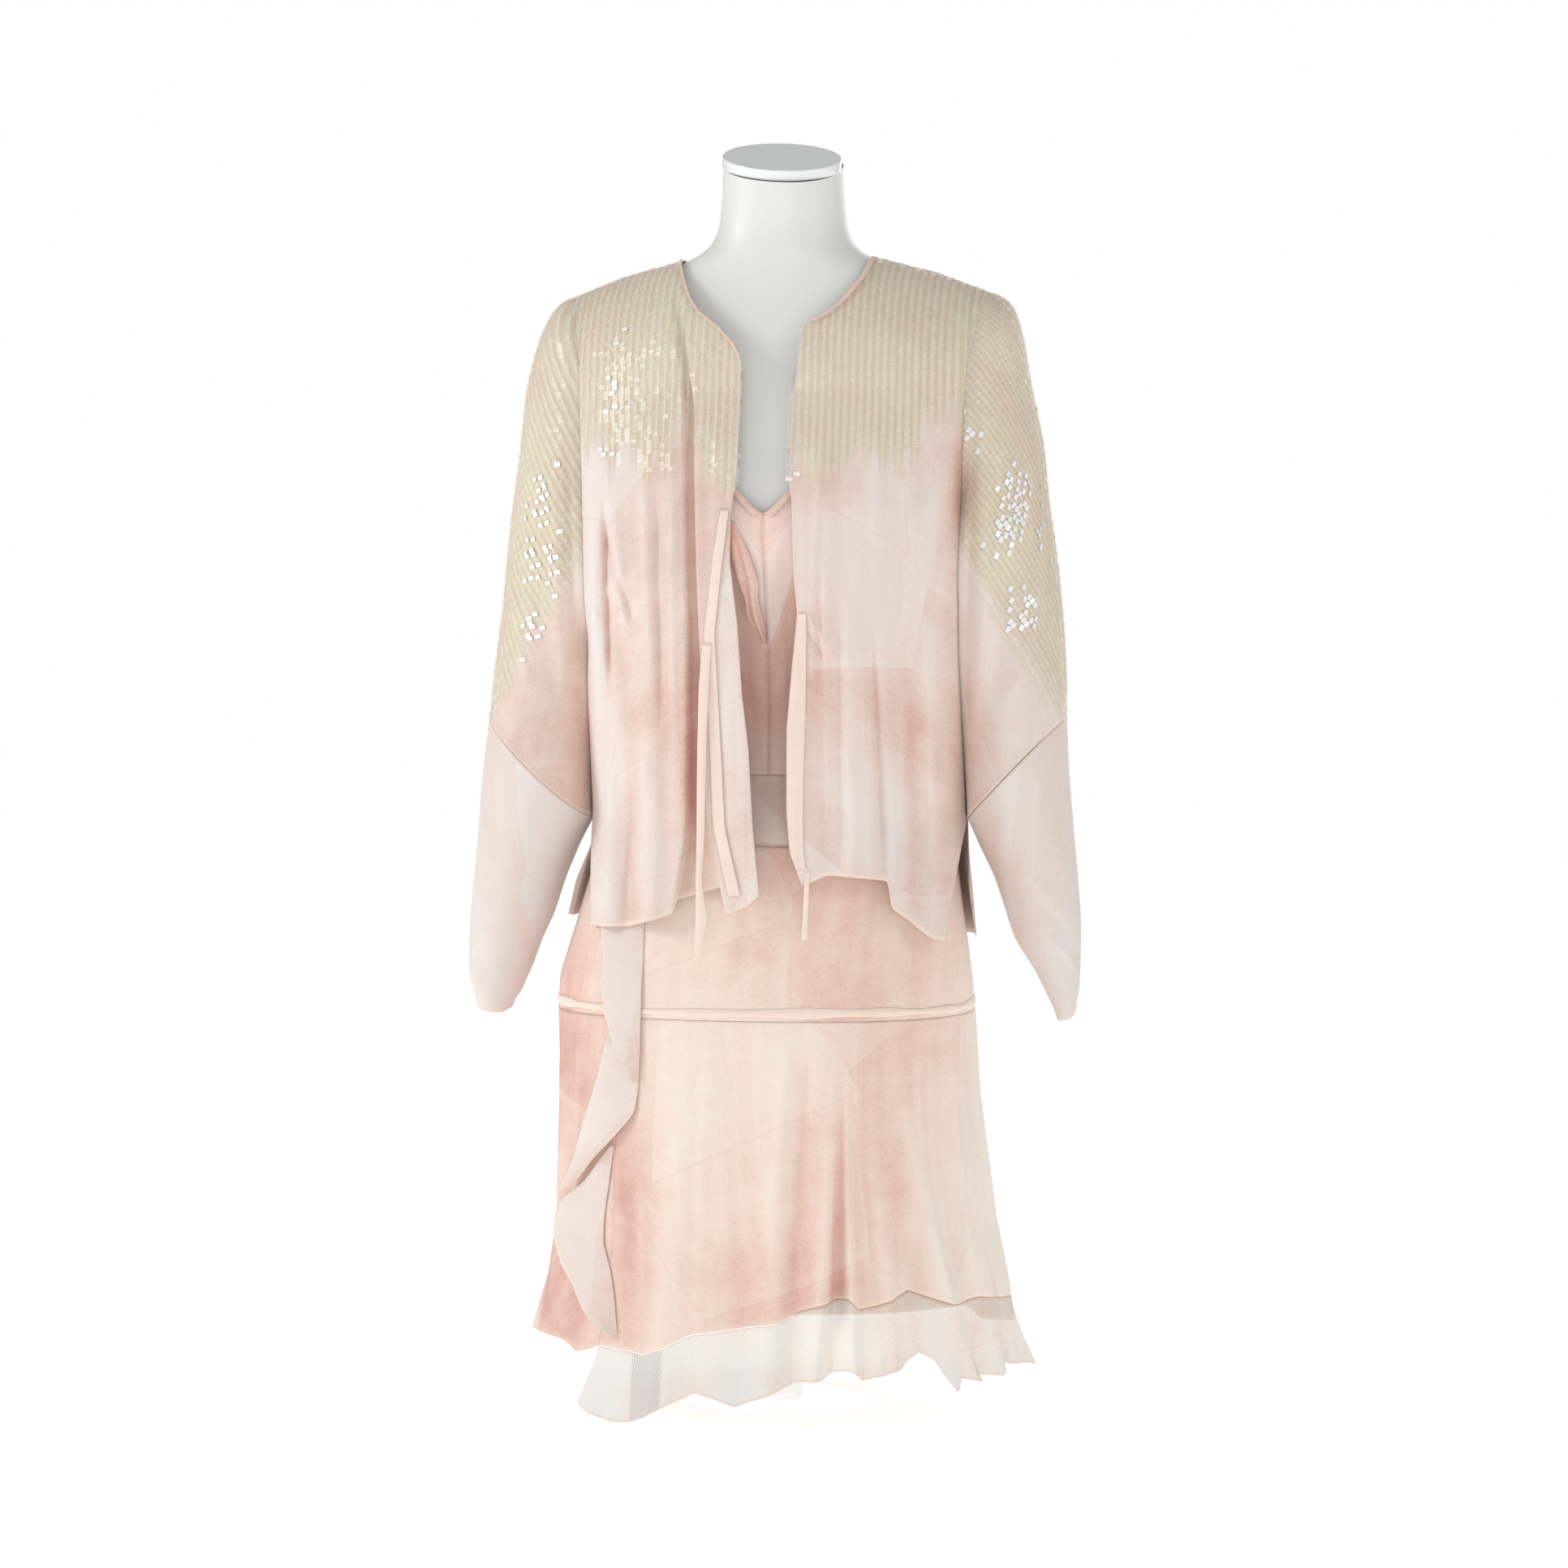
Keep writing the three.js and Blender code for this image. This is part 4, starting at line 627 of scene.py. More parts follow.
def drape_place(u, v):
    z = DRAPE[0][0] + (DRAPE[-1][0] - DRAPE[0][0]) * v
    x = drape_left(z) + (drape_right(z) - drape_left(z)) * u
    lift = drape_off(z) * (0.45 + 0.55 * np.sin(np.pi * (0.2 + 0.7 * u)) ** 2)
    lift = lift + 1.1 * np.sin(9 * u + 3 * v) * step(0.05, 0.3, v)
    depth = depth_of(form, z, x, "front", BODICE_OFF + 1.2)
    return x, -depth - 1.8 - lift * step(0, 0.25, v), z


def drape_dye(x, z, u, v):
    return 0.36 + 0.25 * (1 - u), 0 * x, np.maximum(step(0.94, 1, u), step(0.06, 0, u)) * 0.8


drape = grid_mesh("slip_neck_drape", 30, 70, drape_place, bodice_chiffon, dye=drape_dye)
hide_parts("dress_front_drape")


# Slip dress, waist and hips: a sheer ivory midriff, then a fitted yoke whose lower seam is covered by a
# cream tape, sewn on with small gaps.
# Height, then the reach to the left, to the right, to the front and to the back
SKIRT = [
    (0, 250, 224, 184, 174), (40, 244, 219, 176, 168), (75, 235, 212, 171, 163),
    (119, 223, 207, 166, 159), (181, 216, 196, 159, 152), (296, 214, 184, 150, 141),
    (373, 214, 181, 145, 135), (412, 212, 178, 140, 132), (462, 196, 171, 134, 128),
    (522, 178, 163, 128, 120), (563, 165, 156, 124, 116),
]
MIDRIFF_TOP = 605.6
MIDRIFF_LOW = 529
YOKE_TOP = 541
YOKE_LOW = 381
MIDRIFF_OFF = 5.3
TUCKED_OFF = -1.7
IVORY = [(0.0, "#F3E9E2"), (0.4, "#F2E0D5"), (0.75, "#E9CCBE"), (1.0, "#DBB2A3")]
midriff_chiffon = chiffon("midriff_chiffon", BLUSH, 0.94, patch=9.0, seams=0.5, seed=7.7)
skirt = section(SKIRT, 6)


def midriff_place(u, v):
    z = MIDRIFF_TOP + (MIDRIFF_LOW - MIDRIFF_TOP) * v
    turn = 180 + 360 * u
    share = step(BODICE_HEM - 2, YOKE_TOP + 4, z)
    upper = ring(form, z, turn, MIDRIFF_OFF + INNER)
    lower = ring(skirt, z, turn, TUCKED_OFF + INNER)
    gather = 0.7 * np.sin(np.radians(turn * 31)) * np.sin(np.pi * v)
    x, y, z = (a + (b - a) * share for a, b in zip(upper, lower))
    return x * (1 + gather / 150), y * (1 + gather / 110), z


midriff = grid_mesh(
    "slip_midriff",
    240,
    24,
    midriff_place,
    midriff_chiffon,
    tube=True,
    dye=lambda x, z, u, v: (0.12 + 0.1 * v, 0 * x, np.maximum(step(0.06, 0, v), step(0.9, 1, v)) * 0.6),
)
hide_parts("dress_midriff")
midriff.visible_shadow = False


def yoke_place(u, v):
    z = YOKE_TOP + (YOKE_LOW - YOKE_TOP) * v
    swell = ripple(360 * u % 359.9, z, 14, 60, 1.2, 5.5) * np.sin(np.pi * u) * np.sin(np.pi * v)
    return ring(skirt, z, 180 + 360 * u, INNER + np.abs(swell) * 0.5)


def skirt_dye(x, z, u, v):
    pink = 0.26 + spots(
        [
            (10, 530, 70, 50, 0.4), (-206, 300, 40, 260, 0.4), (-218, 110, 26, 60, 0.4),
            (-125, 200, 24, 140, 0.35), (-190, 100, 60, 60, 0.2), (88, 230, 22, 130, 0.25),
            (40, 190, 24, 110, 0.3), (120, 360, 60, 60, 0.12), (-20, 450, 80, 50, 0.16),
            (-60, 130, 60, 60, 0.1), (190, 180, 60, 160, -0.28), (-95, 330, 50, 80, -0.12),
        ],
        x,
        z,
    )
    return pink, 0 * x, 0 * x


yoke = grid_mesh("slip_hip_yoke", 240, 50, yoke_place, skirt_chiffon, tube=True, dye=skirt_dye)
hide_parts("dress_hip_yoke")
tape_silk = mottled(
    "tape_silk",
    0.6,
    ("#EBD3C4", "#F3E2D5"),
    50.0,
    5.0,
    by_cloth=True,
    grain=(800.0, 0.3, 0.0003),
    Sheen_Weight=0.3,
)


def tape_place(u, v):
    turn = 180 + 360 * u
    half = 3.8 + 1.4 * np.sin(np.radians(turn * 9)) * np.sin(np.radians(turn * 5 + 40))
    z = 388.2 + 0.8 * np.sin(np.radians(turn * 4)) + (0.5 - v) * 2 * half
    return ring(skirt, z, turn, 1.0 + 0.9 * np.sin(np.pi * v))


tape = grid_mesh("slip_hip_tape", 240, 6, tape_place, tape_silk, tube=True, thick=0.4)
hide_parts("dress_hip_tape")


# Slip dress, skirt: bias-cut panels over a pink lining, with a pressed pleat left of centre that opens
# downwards. The back panel wraps round the left side and ends in its own wavy hem.
# Turn at the hip and at the hem in degrees from the front, rise, half width in degrees
SKIRT_FOLDS = [
    (-16, -19, 5.5, 4), (-4, -1, -4.5, 4), (5, 2, 2.5, 3), (10, 6, -3, 3), (21, 12, 6, 2.0),
    (21.5, 16.3, -8, 2.2), (22, 20.8, 6, 1.5), (28, 32, 4.5, 2.2), (33, 43, -4, 4), (37, 54, 6, 3),
    (55, 62, -3, 4), (72, 72, 4, 5), (96, 98, 6, 8), (116, 119, -5, 8), (136, 140, 9, 9),
    (160, 162, -5, 8), (182, 184, 8, 9), (204, 205, -5, 8), (224, 228, 9, 9), (246, 247, -5, 7),
    (262, 264, 8, 7), (280, 281, -5, 6), (296, 297, 7, 6), (312, 311, -4, 5),
]
SMALL_FOLDS = [
    (-30, 340, -26, 90, 1.6, 1.0), (-11, 370, -12, 120, 1.4, 0.9), (6, 380, 1, 160, 1.6, 1.0),
    (12, 370, 6, 120, 1.2, -1.0), (25, 372, 26, 130, 1.4, 1.2), (46, 360, 50, 130, 1.6, 1.1),
    (64, 375, 67, 130, 1.8, 1.2), (82, 370, 85, 100, 2.2, 1.5), (104, 360, 108, 90, 2.4, -1.4),
    (128, 375, 130, 90, 2.0, 1.3), (150, 360, 152, 90, 2.6, 1.5), (172, 370, 173, 90, 2.2, 1.2),
    (194, 350, 196, 90, 2.4, -1.4), (214, 372, 216, 90, 2.2, 1.4), (236, 360, 238, 90, 2.6, 1.3),
    (254, 370, 255, 90, 1.8, 1.2), (272, 360, 274, 90, 2.0, -1.2), (289, 370, 290, 90, 1.6, 1.2),
    (305, 360, 305, 80, 1.5, 1.0),
]
FOLD_TOP = 381
FOLD_HEM = 75
# Turn in degrees and height, and for the flounce how far its hem stands out
FLOUNCE_SEAM = [
    (-38, 77), (-31, 76), (-24, 73), (-19, 80), (-13.5, 93), (-2.5, 101), (3.5, 106), (8, 117),
    (14.5, 125), (20, 129), (22.5, 119), (28, 122), (38, 134), (51.5, 119), (57, 116), (67, 120),
    (96, 105),
]
FLOUNCE_HEM = [
    (-38, 26, 17), (-33.5, 18, 20), (-29, 12, 14), (-25, 12, 7), (-21, 18, 5), (-16, 30, 12),
    (-11, 42, 8), (-7, 38, 10), (-3, 31, 16), (2, 42, 8), (7, 53, 2), (11, 56, 9), (15.5, 60, 3),
    (19.5, 65, 12), (22.5, 55, 4), (27.5, 59, 12), (32, 63, 4), (36, 73, 9), (40, 77, 4), (44, 70, 12),
    (48, 40, 19), (52, 51, 7), (57, 47, 13), (62, 49, 4), (68, 47, 14), (74, 55, 6), (81, 50, 15),
    (88, 46, 8), (95, 40, 16),
]
BACK_HEM = [
    (75, 117), (95, 105), (97, 80), (120, 70), (150, 79), (180, 70), (210, 79), (240, 68), (262, 60),
    (284, 76), (298, 80), (306, 76), (312, 66), (319, 72), (322, 77),
]
SIDE_SEAM = 75
FRONT_FROM = -37.8
BACK_TO = 322.2
FLOUNCE_TO = 95
LINING_TOP = 376
LINING_LOW = 112
LINING_OFF = -14


def turned_curve(rows, column=1):
    """Smooth run along the turns of an edge, which lie close together"""
    scaled = [(row[0] * 10, *row[1:]) for row in rows]
    smooth = curve(scaled, column, 4)
    return lambda turn: smooth(turn * 10)


seam_height = turned_curve(FLOUNCE_SEAM)
hem_height, hem_push = turned_curve(FLOUNCE_HEM), turned_curve(FLOUNCE_HEM, 2)
back_hem_height = turned_curve(BACK_HEM)


def fold_rise(turn, z):
    share = np.clip((FOLD_TOP - z) / (FOLD_TOP - FOLD_HEM), 0, 1.2)
    rise = np.zeros_like(turn)
    for hip, hem, high, wide in SKIRT_FOLDS:
        away = ((turn - hip - (hem - hip) * share + 540) % 360) - 180
        rise += 1.35 * high * share**0.9 * np.exp(-((away / wide) ** 2))
    round_turn = np.where(turn < -60, turn + 360, turn)
    return rise + 1.5 * creases(SMALL_FOLDS, round_turn, z) * step(FOLD_TOP, 330, z)


def on_skirt_turn(turn, z, out=0):
    return ring(skirt, z, turn, out + fold_rise(turn, z))


def skirt_front_place(u, v):
    turn = FRONT_FROM + (SIDE_SEAM - FRONT_FROM) * u
    top = YOKE_LOW - SEAM
    return on_skirt_turn(turn, top + (seam_height(turn) - top) * v, INNER)


def skirt_back_place(u, v):
    turn = SIDE_SEAM + (BACK_TO - SIDE_SEAM) * u
    top = YOKE_LOW - SEAM
    return on_skirt_turn(turn, top + (back_hem_height(turn) - top) * v, INNER)


def skirt_dye_and_fold_shade(turns):
    """Pinks of a skirt panel between two turns, with painted shade in the troughs of its folds"""

    def dye(x, z, u, v):
        pink, _, _ = skirt_dye(x, z, u, v)
        rise = fold_rise(turns[0] + (turns[1] - turns[0]) * u, z)
        # Fold term: painted shade, pinker in the troughs and paler on the ridges
        return pink - 0.035 * np.clip(rise, -6, 5), 0 * x, step(0.975, 1, v) * 0.5

    return dye


skirt_front_dye_and_shade = skirt_dye_and_fold_shade((FRONT_FROM, SIDE_SEAM))
skirt_front = grid_mesh("slip_skirt_front", 250, 110, skirt_front_place, skirt_chiffon, dye=skirt_front_dye_and_shade)
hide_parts("dress_skirt_front")
skirt_back_dye_and_shade = skirt_dye_and_fold_shade((SIDE_SEAM, BACK_TO))
skirt_back = grid_mesh("slip_skirt_back", 300, 80, skirt_back_place, skirt_chiffon, dye=skirt_back_dye_and_shade)
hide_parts("dress_skirt_back")


def lining_place(u, v):
    z = LINING_TOP + (LINING_LOW - LINING_TOP) * v
    turn = 180 + 360 * u
    off = TUCKED_OFF + (LINING_OFF - TUCKED_OFF) * step(0, 0.6, v)
    return ring(skirt, z, turn, off + INNER + 0.8 * v * np.sin(np.radians(turn * 14)))


lining = grid_mesh(
    "slip_lining",
    140,
    40,
    lining_place,
    bodice_chiffon,
    tube=True,
    dye=lambda x, z, u, v: (0.3 + 0.25 * v, 0 * x, step(0.98, 1, v)),
)
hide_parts("dress_lining_skirt")

SHEER_THICK = 0.6
SHEER = [(0.0, "#E4E3DF"), (0.45, "#E6DDD2"), (0.8, "#E2CDBF"), (1.0, "#D3B5A6")]
flounce_chiffon = chiffon(
    "flounce_chiffon", SHEER, 0.56, patch=8.5, seams=0.4, striped=True, hem="#DDBFA8", seed=2.9
)


def flounce_place(u, v):
    turn = FRONT_FROM + (FLOUNCE_TO - FRONT_FROM) * u
    top = seam_height(turn) - 2 * SEAM
    z = top + (hem_height(turn) - top) * v
    push = (hem_push(turn) - 3) * v**1.3
    crimp = 0.9 * np.sin(np.radians(turn * 38)) * v
    return on_skirt_turn(turn, z, INNER + push + crimp)


def flounce_dye_and_fold_shade(x, z, u, v):
    """Pinker in painted shade where the flounce stays in, with a striped panel at its left end"""
    push = hem_push(FRONT_FROM + (FLOUNCE_TO - FRONT_FROM) * u)
    # The push term is painted shade in the troughs of the hem's waves
    pink = 0.2 + spots([(200, 70, 60, 60, 0.3)], x, z) + 0.05 * v * (8 - push)
    return pink, step(-121, -118, x) * step(-88, -91, x), np.maximum(step(0.96, 1, v), step(0.05, 0, v))


flounce = grid_mesh(
    "slip_hem_flounce", 300, 36, flounce_place, flounce_chiffon, thick=SHEER_THICK, dye=flounce_dye_and_fold_shade
)
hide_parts("dress_hem_flounce")
flounce.visible_shadow = False

# Height, left edge, right edge, how far the left and the right edge stand off
CASCADES = {
    "upper": [
        (500, -154, -113, 3, 0.5), (466, -152.6, -113.4, 6, 0.5), (438, -148.2, -113.4, 8, 0.5),
        (410, -146.7, -113.4, 10, 2.1), (382, -141.5, -113.4, 11, 2.5), (354, -134, -113.6, 11, 2.8),
        (334, -122.2, -113.8, 10, 3), (322, -116, -114, 7, 3.2),
    ],
    "middle": [
        (378, -142, -121, 1.5, 0.6), (350, -149.5, -115.5, 3, 0.6), (321, -157, -115, 5, 0.8),
        (296, -163.5, -117, 6.5, 2.5), (282, -167.2, -126.5, 8, 5), (260, -173, -144.5, 9, 8),
        (246, -176.5, -157, 10, 10), (227, -181.6, -171, 11, 12), (212, -186.4, -184, 12, 12.5),
    ],
    "lower": [
        (262, -142.5, -140, 1.4, 0.9), (246, -154, -142.5, 3, 0.9), (226, -169, -145, 6, 0.9),
        (208, -186, -148, 9.5, 0.9), (192, -189, -150, 12, 0.9), (172, -188, -150.5, 13, 0.9),
        (145, -182, -141.8, 14, 0.9), (121, -171.2, -137.4, 13, 0.9), (103, -157.5, -135.5, 10, 0.9),
        (88, -138.5, -133.5, 6, 0.9),
    ],
}
cascade_chiffon = chiffon("cascade_chiffon", IVORY, 0.86, patch=7.0, seams=0.3, hem="#F7E9DA", seed=9.2)


def on_skirt(x, z, off):
    sine = np.clip(np.abs(x) / skirt[0](z), 0, 1) ** (POWER / 2)
    turn = -np.degrees(np.arcsin(sine))
    return on_skirt_turn(turn, z, 1.2 + off)


def flap_dye(x, z, u, v):
    return 0.15 + 0.2 * u, 0 * x, np.maximum(step(0.07, 0.02, u), step(0.96, 1, u)) * 1.3


for flap_name, rows in CASCADES.items():
    left, right, off_left, off_right = (curve(rows, k, 4) for k in (1, 2, 3, 4))

    def flap_place(u, v, rows=rows, left=left, right=right, off_left=off_left, off_right=off_right):
        z = rows[0][0] + (rows[-1][0] - rows[0][0]) * v
        x = left(z) + (right(z) - left(z)) * u
        off = off_left(z) + (off_right(z) - off_left(z)) * u
        wave = 0.8 * np.sin(14 * v + 5 * u) * (1 - u) * np.minimum(1, off / 4)
        return on_skirt(x, z, off + wave)

    flap = grid_mesh(
        f"slip_cascade_{flap_name}", 30, 90, flap_place, cascade_chiffon, thick=SHEER_THICK, dye=flap_dye
    )
    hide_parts(f"dress_cascade_{flap_name}")


# Jacket body: two fronts and a back in patched chiffon, with a yoke sewn all over in rows of clear
# paillettes. The left front is tucked between its main panel and the strip along its edge.
SHOULDER_START = 960
SHOULDER_LINE = [(80, 1087.5), (92, 1086.4), (147, 1072), (187, 1057), (196, 1053)]
# Height, depth at the centre, depth at the armhole
JACKET_FRONT = [
    (440, 154, 70), (500, 151, 46), (562, 148, 10), (650, 147, 47), (720, 149, 72), (790, 150, 85),
    (850, 146, 88), (900, 137, 84), (960, 121, 77),
]
JACKET_BACK = [
    (440, 142, 8), (500, 135, -4), (562, 127, -10), (650, 120, 31), (720, 117, 60), (790, 116, 73),
    (850, 116, 78), (900, 116, 77), (960, 113, 70),
]
# Height, then the distance from the centre on the left and on the right
ARMHOLE = [
    (562, 181, 176), (650, 178, 173.5), (720, 176.5, 172), (790, 176.5, 172.5), (860, 178, 175),
    (920, 180, 177.5), (975, 182, 180), (1020, 187, 188), (1053, 196, 196),
]
FRONT_SIDE_EDGE = [(440, 171, 162), (500, 173, 169), (562, 181, 176)]
BACK_SIDE_EDGE = [(440, 216, 184), (500, 200, 180), (540, 182, 175.5), (564, 178.5, 174.5)]
# Height, distance to the right of the centre
EDGE_LEFT = [
    (480, -2), (500, -2), (560, -8), (630, -12), (682, -18), (745, -22), (803, -28.9), (842, -28.6),
    (886, -23.6), (938, -23), (979, -22.7), (990, -23.5), (1002, -30), (1018, -46), (1031, -64),
    (1044, -74), (1065, -84), (1086, -93),
]
EDGE_RIGHT = [
    (480, 39), (506, 38), (537, 26), (574, 22.7), (651, 23), (703, 27.7), (756, 33), (787, 30), (860, 27),
    (872, 24.7), (955, 24.7), (974, 29.1), (1007, 31.5), (1019, 33.5), (1024, 42), (1030, 54), (1043, 67),
    (1063, 81), (1086, 88),
]
# Distance to the right of the centre, height
HEM_LEFT = [
    (-212, 463), (-172, 463), (-128, 465), (-109, 471), (-88, 477), (-84, 479), (-81, 491), (-62, 497),
    (-37, 504), (-33, 480), (-14, 486), (0, 499),
]
HEM_RIGHT = [
    (36, 506), (60, 516), (85, 514), (114, 510), (118, 486), (138, 467), (155, 455), (170, 452),
]
HEM_BACK = [(-212, 467), (-150, 452), (0, 448), (130, 444), (178, 449)]
# Height, where the tuck begins and ends, how deep it is
TUCK = [
    (480, -83, -33, 12), (560, -70, -51, 13), (735, -69, -58.5, 12), (940, -75, -65, 8),
    (1010, -84, -75, 5), (1060, -95, -88, 0),
]
# Side, distance from the centre at the top and at the hem, rise, half width
JACKET_FOLDS = [
    (-1, 110, 104, 4, 9), (-1, 128, 128, -4, 10), (-1, 146, 152, 4, 9), (1, 52, 60, -3, 9),
    (1, 74, 86, 4, 11), (1, 100, 118, 6, 8), (1, 120, 134, -4, 9), (1, 142, 150, 3, 7),
]
# Distance to the right of the centre at the top and at the hem, rise, half width
BACK_FOLDS = [
    (-120, -150, 6, 14), (-70, -84, -4, 16), (-30, -34, 5, 14), (16, 18, -4, 14), (58, 66, 5, 14),
    (110, 124, -4, 16), (140, 156, 4, 12),
]
CREASES_FRONT = [
    (-112, 890, -104, 700, 5, 2.2), (-98, 860, -96, 650, 3.5, -1.8), (-84, 880, -82, 640, 4, 1.6),
    (-142, 850, -128, 720, 6, 2.4), (-152, 830, -122, 748, 4, -2.4), (-170, 745, -128, 806, 5, 2.2),
    (-160, 480, -150, 620, 5, 2.0), (-132, 470, -126, 600, 4, -2.0), (-112, 480, -112, 650, 4, 1.8),
    (-20, 760, -14, 520, 4, 1.2), (52, 900, 46, 700, 4, 1.4), (60, 530, 58, 800, 4, 1.8),
    (72, 520, 70, 760, 3, -1.5), (98, 520, 92, 720, 4, 2.4), (108, 530, 100, 740, 3, -2.2),
    (128, 480, 124, 700, 4, 2.2), (150, 470, 142, 690, 4, -2.0), (40, 760, 62, 724, 2.2, 1.4),
    (38, 744, 58, 714, 1.8, -1.2), (150, 870, 120, 720, 6, 2.4), (166, 860, 146, 740, 4, -2.4),
    (-151, 850, -148, 690, 3.5, -5), (-164, 830, -162, 660, 5, 3),
]
shoulder_curve = curve([(row[0], row[1]) for row in SHOULDER_LINE], 1, 4)
front_depth, front_reach = curve(JACKET_FRONT, 1, 10), curve(JACKET_FRONT, 2, 10)
back_depth, back_reach = curve(JACKET_BACK, 1, 10), curve(JACKET_BACK, 2, 10)
armhole = {"left": curve(ARMHOLE, 1, 8), "right": curve(ARMHOLE, 2, 8)}
edge_left, edge_right = curve(EDGE_LEFT, 1, 2), curve(EDGE_RIGHT, 1, 2)
tuck_from, tuck_to, tuck_deep = (curve(TUCK, k, 8) for k in (1, 2, 3))
hem_left, hem_right, hem_back = curve(HEM_LEFT, 1, 1), curve(HEM_RIGHT, 1, 1), curve(HEM_BACK, 1, 4)
skirt_side = {
    name: (curve(FRONT_SIDE_EDGE, k, 4), curve(BACK_SIDE_EDGE, k, 4))
    for name, k in (("left", 1), ("right", 2))
}


EASE_BARE = 3.6
EASE_BODICE = 7.5
EASE_SKIRT = {"front": 3.6, "back": 9}
EASE_FROM = 930
EASE_SLOPE = 1.4
BACK_REST_TOP = 1085


def over_bodice(x, z, face):
    return depth_of(form, z, x, face, np.where(z > EASE_FROM, EASE_BARE, EASE_BODICE))


def worn_depth(x, z, face):
    """Least depth of the jacket over what is worn below it. The skirt's share runs out above its top."""
    low = depth_of(skirt, z, x, face, EASE_SKIRT[face])
    return np.maximum(over_bodice(x, z, face), low - EASE_SLOPE * np.maximum(z - SKIRT[-1][0], 0))


def soft_max(a, b, soft):
    """The larger of two, with a rounded change from one to the other"""
    return (a + b + np.sqrt((a - b) ** 2 + soft * soft)) / 2


def reach_of(x, z):
    return np.where(x < 0, armhole["left"](z), armhole["right"](z))


def jacket_depth(x, z, depth, reach, face):
    """How deep the jacket lies, without folds: a bowed row that closes in over the shoulder"""
    low = np.minimum(z, SHOULDER_START)
    share = np.clip(1 - (np.abs(x) / reach_of(x, low)) ** 2.2, 0, 1) ** (1 / 1.6)
    deep = reach(low) + (depth(low) - reach(low)) * share
    up = np.clip((z - SHOULDER_START) / (shoulder_curve(np.abs(x)) - SHOULDER_START), 0, 1)
    return soft_max(deep * np.sqrt(1 - up * up), worn_depth(x, z, face), 5)


def armhole_dip(name, z):
    """How deep the cloth is drawn in along the front armhole"""
    if name == "right":
        return 17 * np.exp(-(((z - 862) / 34) ** 2)) + 7 * np.exp(-(((z - 740) / 90) ** 2))
    return 12 * np.exp(-(((z - 726) / 26) ** 2)) + 5 * np.exp(-(((z - 860) / 60) ** 2))


def front_rise(x, z):
    """Folds and creases of the fronts, which fade out at their edges"""
    edge = np.where(x < 0, edge_left(z), edge_right(z))
    inward = step(0, 12, np.abs(x - edge))
    outward = 1 - step(0.93, 1, np.abs(x) / reach_of(x, z))
    share = step(930, 480, z)
    rise = np.zeros_like(x)
    for side, top, low, high, wide in JACKET_FOLDS:
        rise += 1.5 * high * share * np.exp(-(((x - side * (top + (low - top) * share)) / wide) ** 2))
    rise += 1.5 * creases(CREASES_FRONT, x, z) + ripple(x, z, 16, 70, 2.6, 2.2) * step(960, 880, z)
    return rise * inward * outward


def front_point(x, z, out=0.0):
    depth = jacket_depth(x, z, front_depth, front_reach, "front") + front_rise(x, z)
    inside = step(tuck_from(z) - 1.5, tuck_from(z) + 2, x) * (1 - step(tuck_to(z) - 2, tuck_to(z) + 1.5, x))
    depth = depth - np.where(x < 0, tuck_deep(z) * inside, 0)
    dip = np.where(x < 0, armhole_dip("left", z), armhole_dip("right", z))
    depth = depth - dip * np.exp(-(((reach_of(x, z) - np.abs(x)) / 7) ** 2))
    depth = np.maximum(depth, worn_depth(x, z, "front") + 0.6)
    return x, -depth - out, z


def back_point(x, z, out=0.0):
    depth = jacket_depth(x, z, back_depth, back_reach, "back")
    depth = soft_max(depth, over_bodice(x, np.minimum(z, BACK_REST_TOP), "back"), 4)
    share = step(900, 470, z)
    outward = 1 - step(0.85, 1, np.abs(x) / reach_of(x, z))
    rise = ripple(x, z, 22, 90, 2.2, 8.4) * share
    for top, low, high, wide in BACK_FOLDS:
        rise += high * share * np.exp(-(((x - top - (low - top) * share) / wide) ** 2))
    return x, depth + rise * outward + out, z


SHOULDER_SHARE = 0.27


def level(x, v, shoulder, hem):
    """Height of a jacket row away from the centre: first over the shoulder, then down to the hem"""
    angle = (1 - np.clip(v / SHOULDER_SHARE, 0, 1)) * math.pi / 2
    over = SHOULDER_START + (shoulder(x) - SHOULDER_START) * np.sin(angle)
    share = np.clip((v - SHOULDER_SHARE) / (1 - SHOULDER_SHARE), 0, 1)
    return np.where(v < SHOULDER_SHARE, over, SHOULDER_START + (hem(x) - SHOULDER_START) * share)


def settled(start, height, place):
    """Distance from the centre that agrees with its own height, found step by step"""
    x = np.full_like(height(np.float64(start)), start)
    for _ in range(14):
        x = x + (place(height(x)) - x) * 0.7
    return x


def side_edge(z, name, low_limit, which):
    return np.where(z < low_limit, skirt_side[name][which](z), armhole[name](z)) - SEAM


YOKE_LIMIT_BODY = [
    (-185, 905), (-160, 893), (-145, 868), (-130, 905), (-112, 880), (-96, 872), (-80, 905), (-60, 900),
    (-50, 880), (-36, 862), (-25, 850), (20, 872), (40, 884), (60, 880), (78, 884), (88, 896), (110, 893),
    (130, 884), (148, 915), (164, 925), (190, 915),
]
yoke_limit = curve(YOKE_LIMIT_BODY, 1, 3)


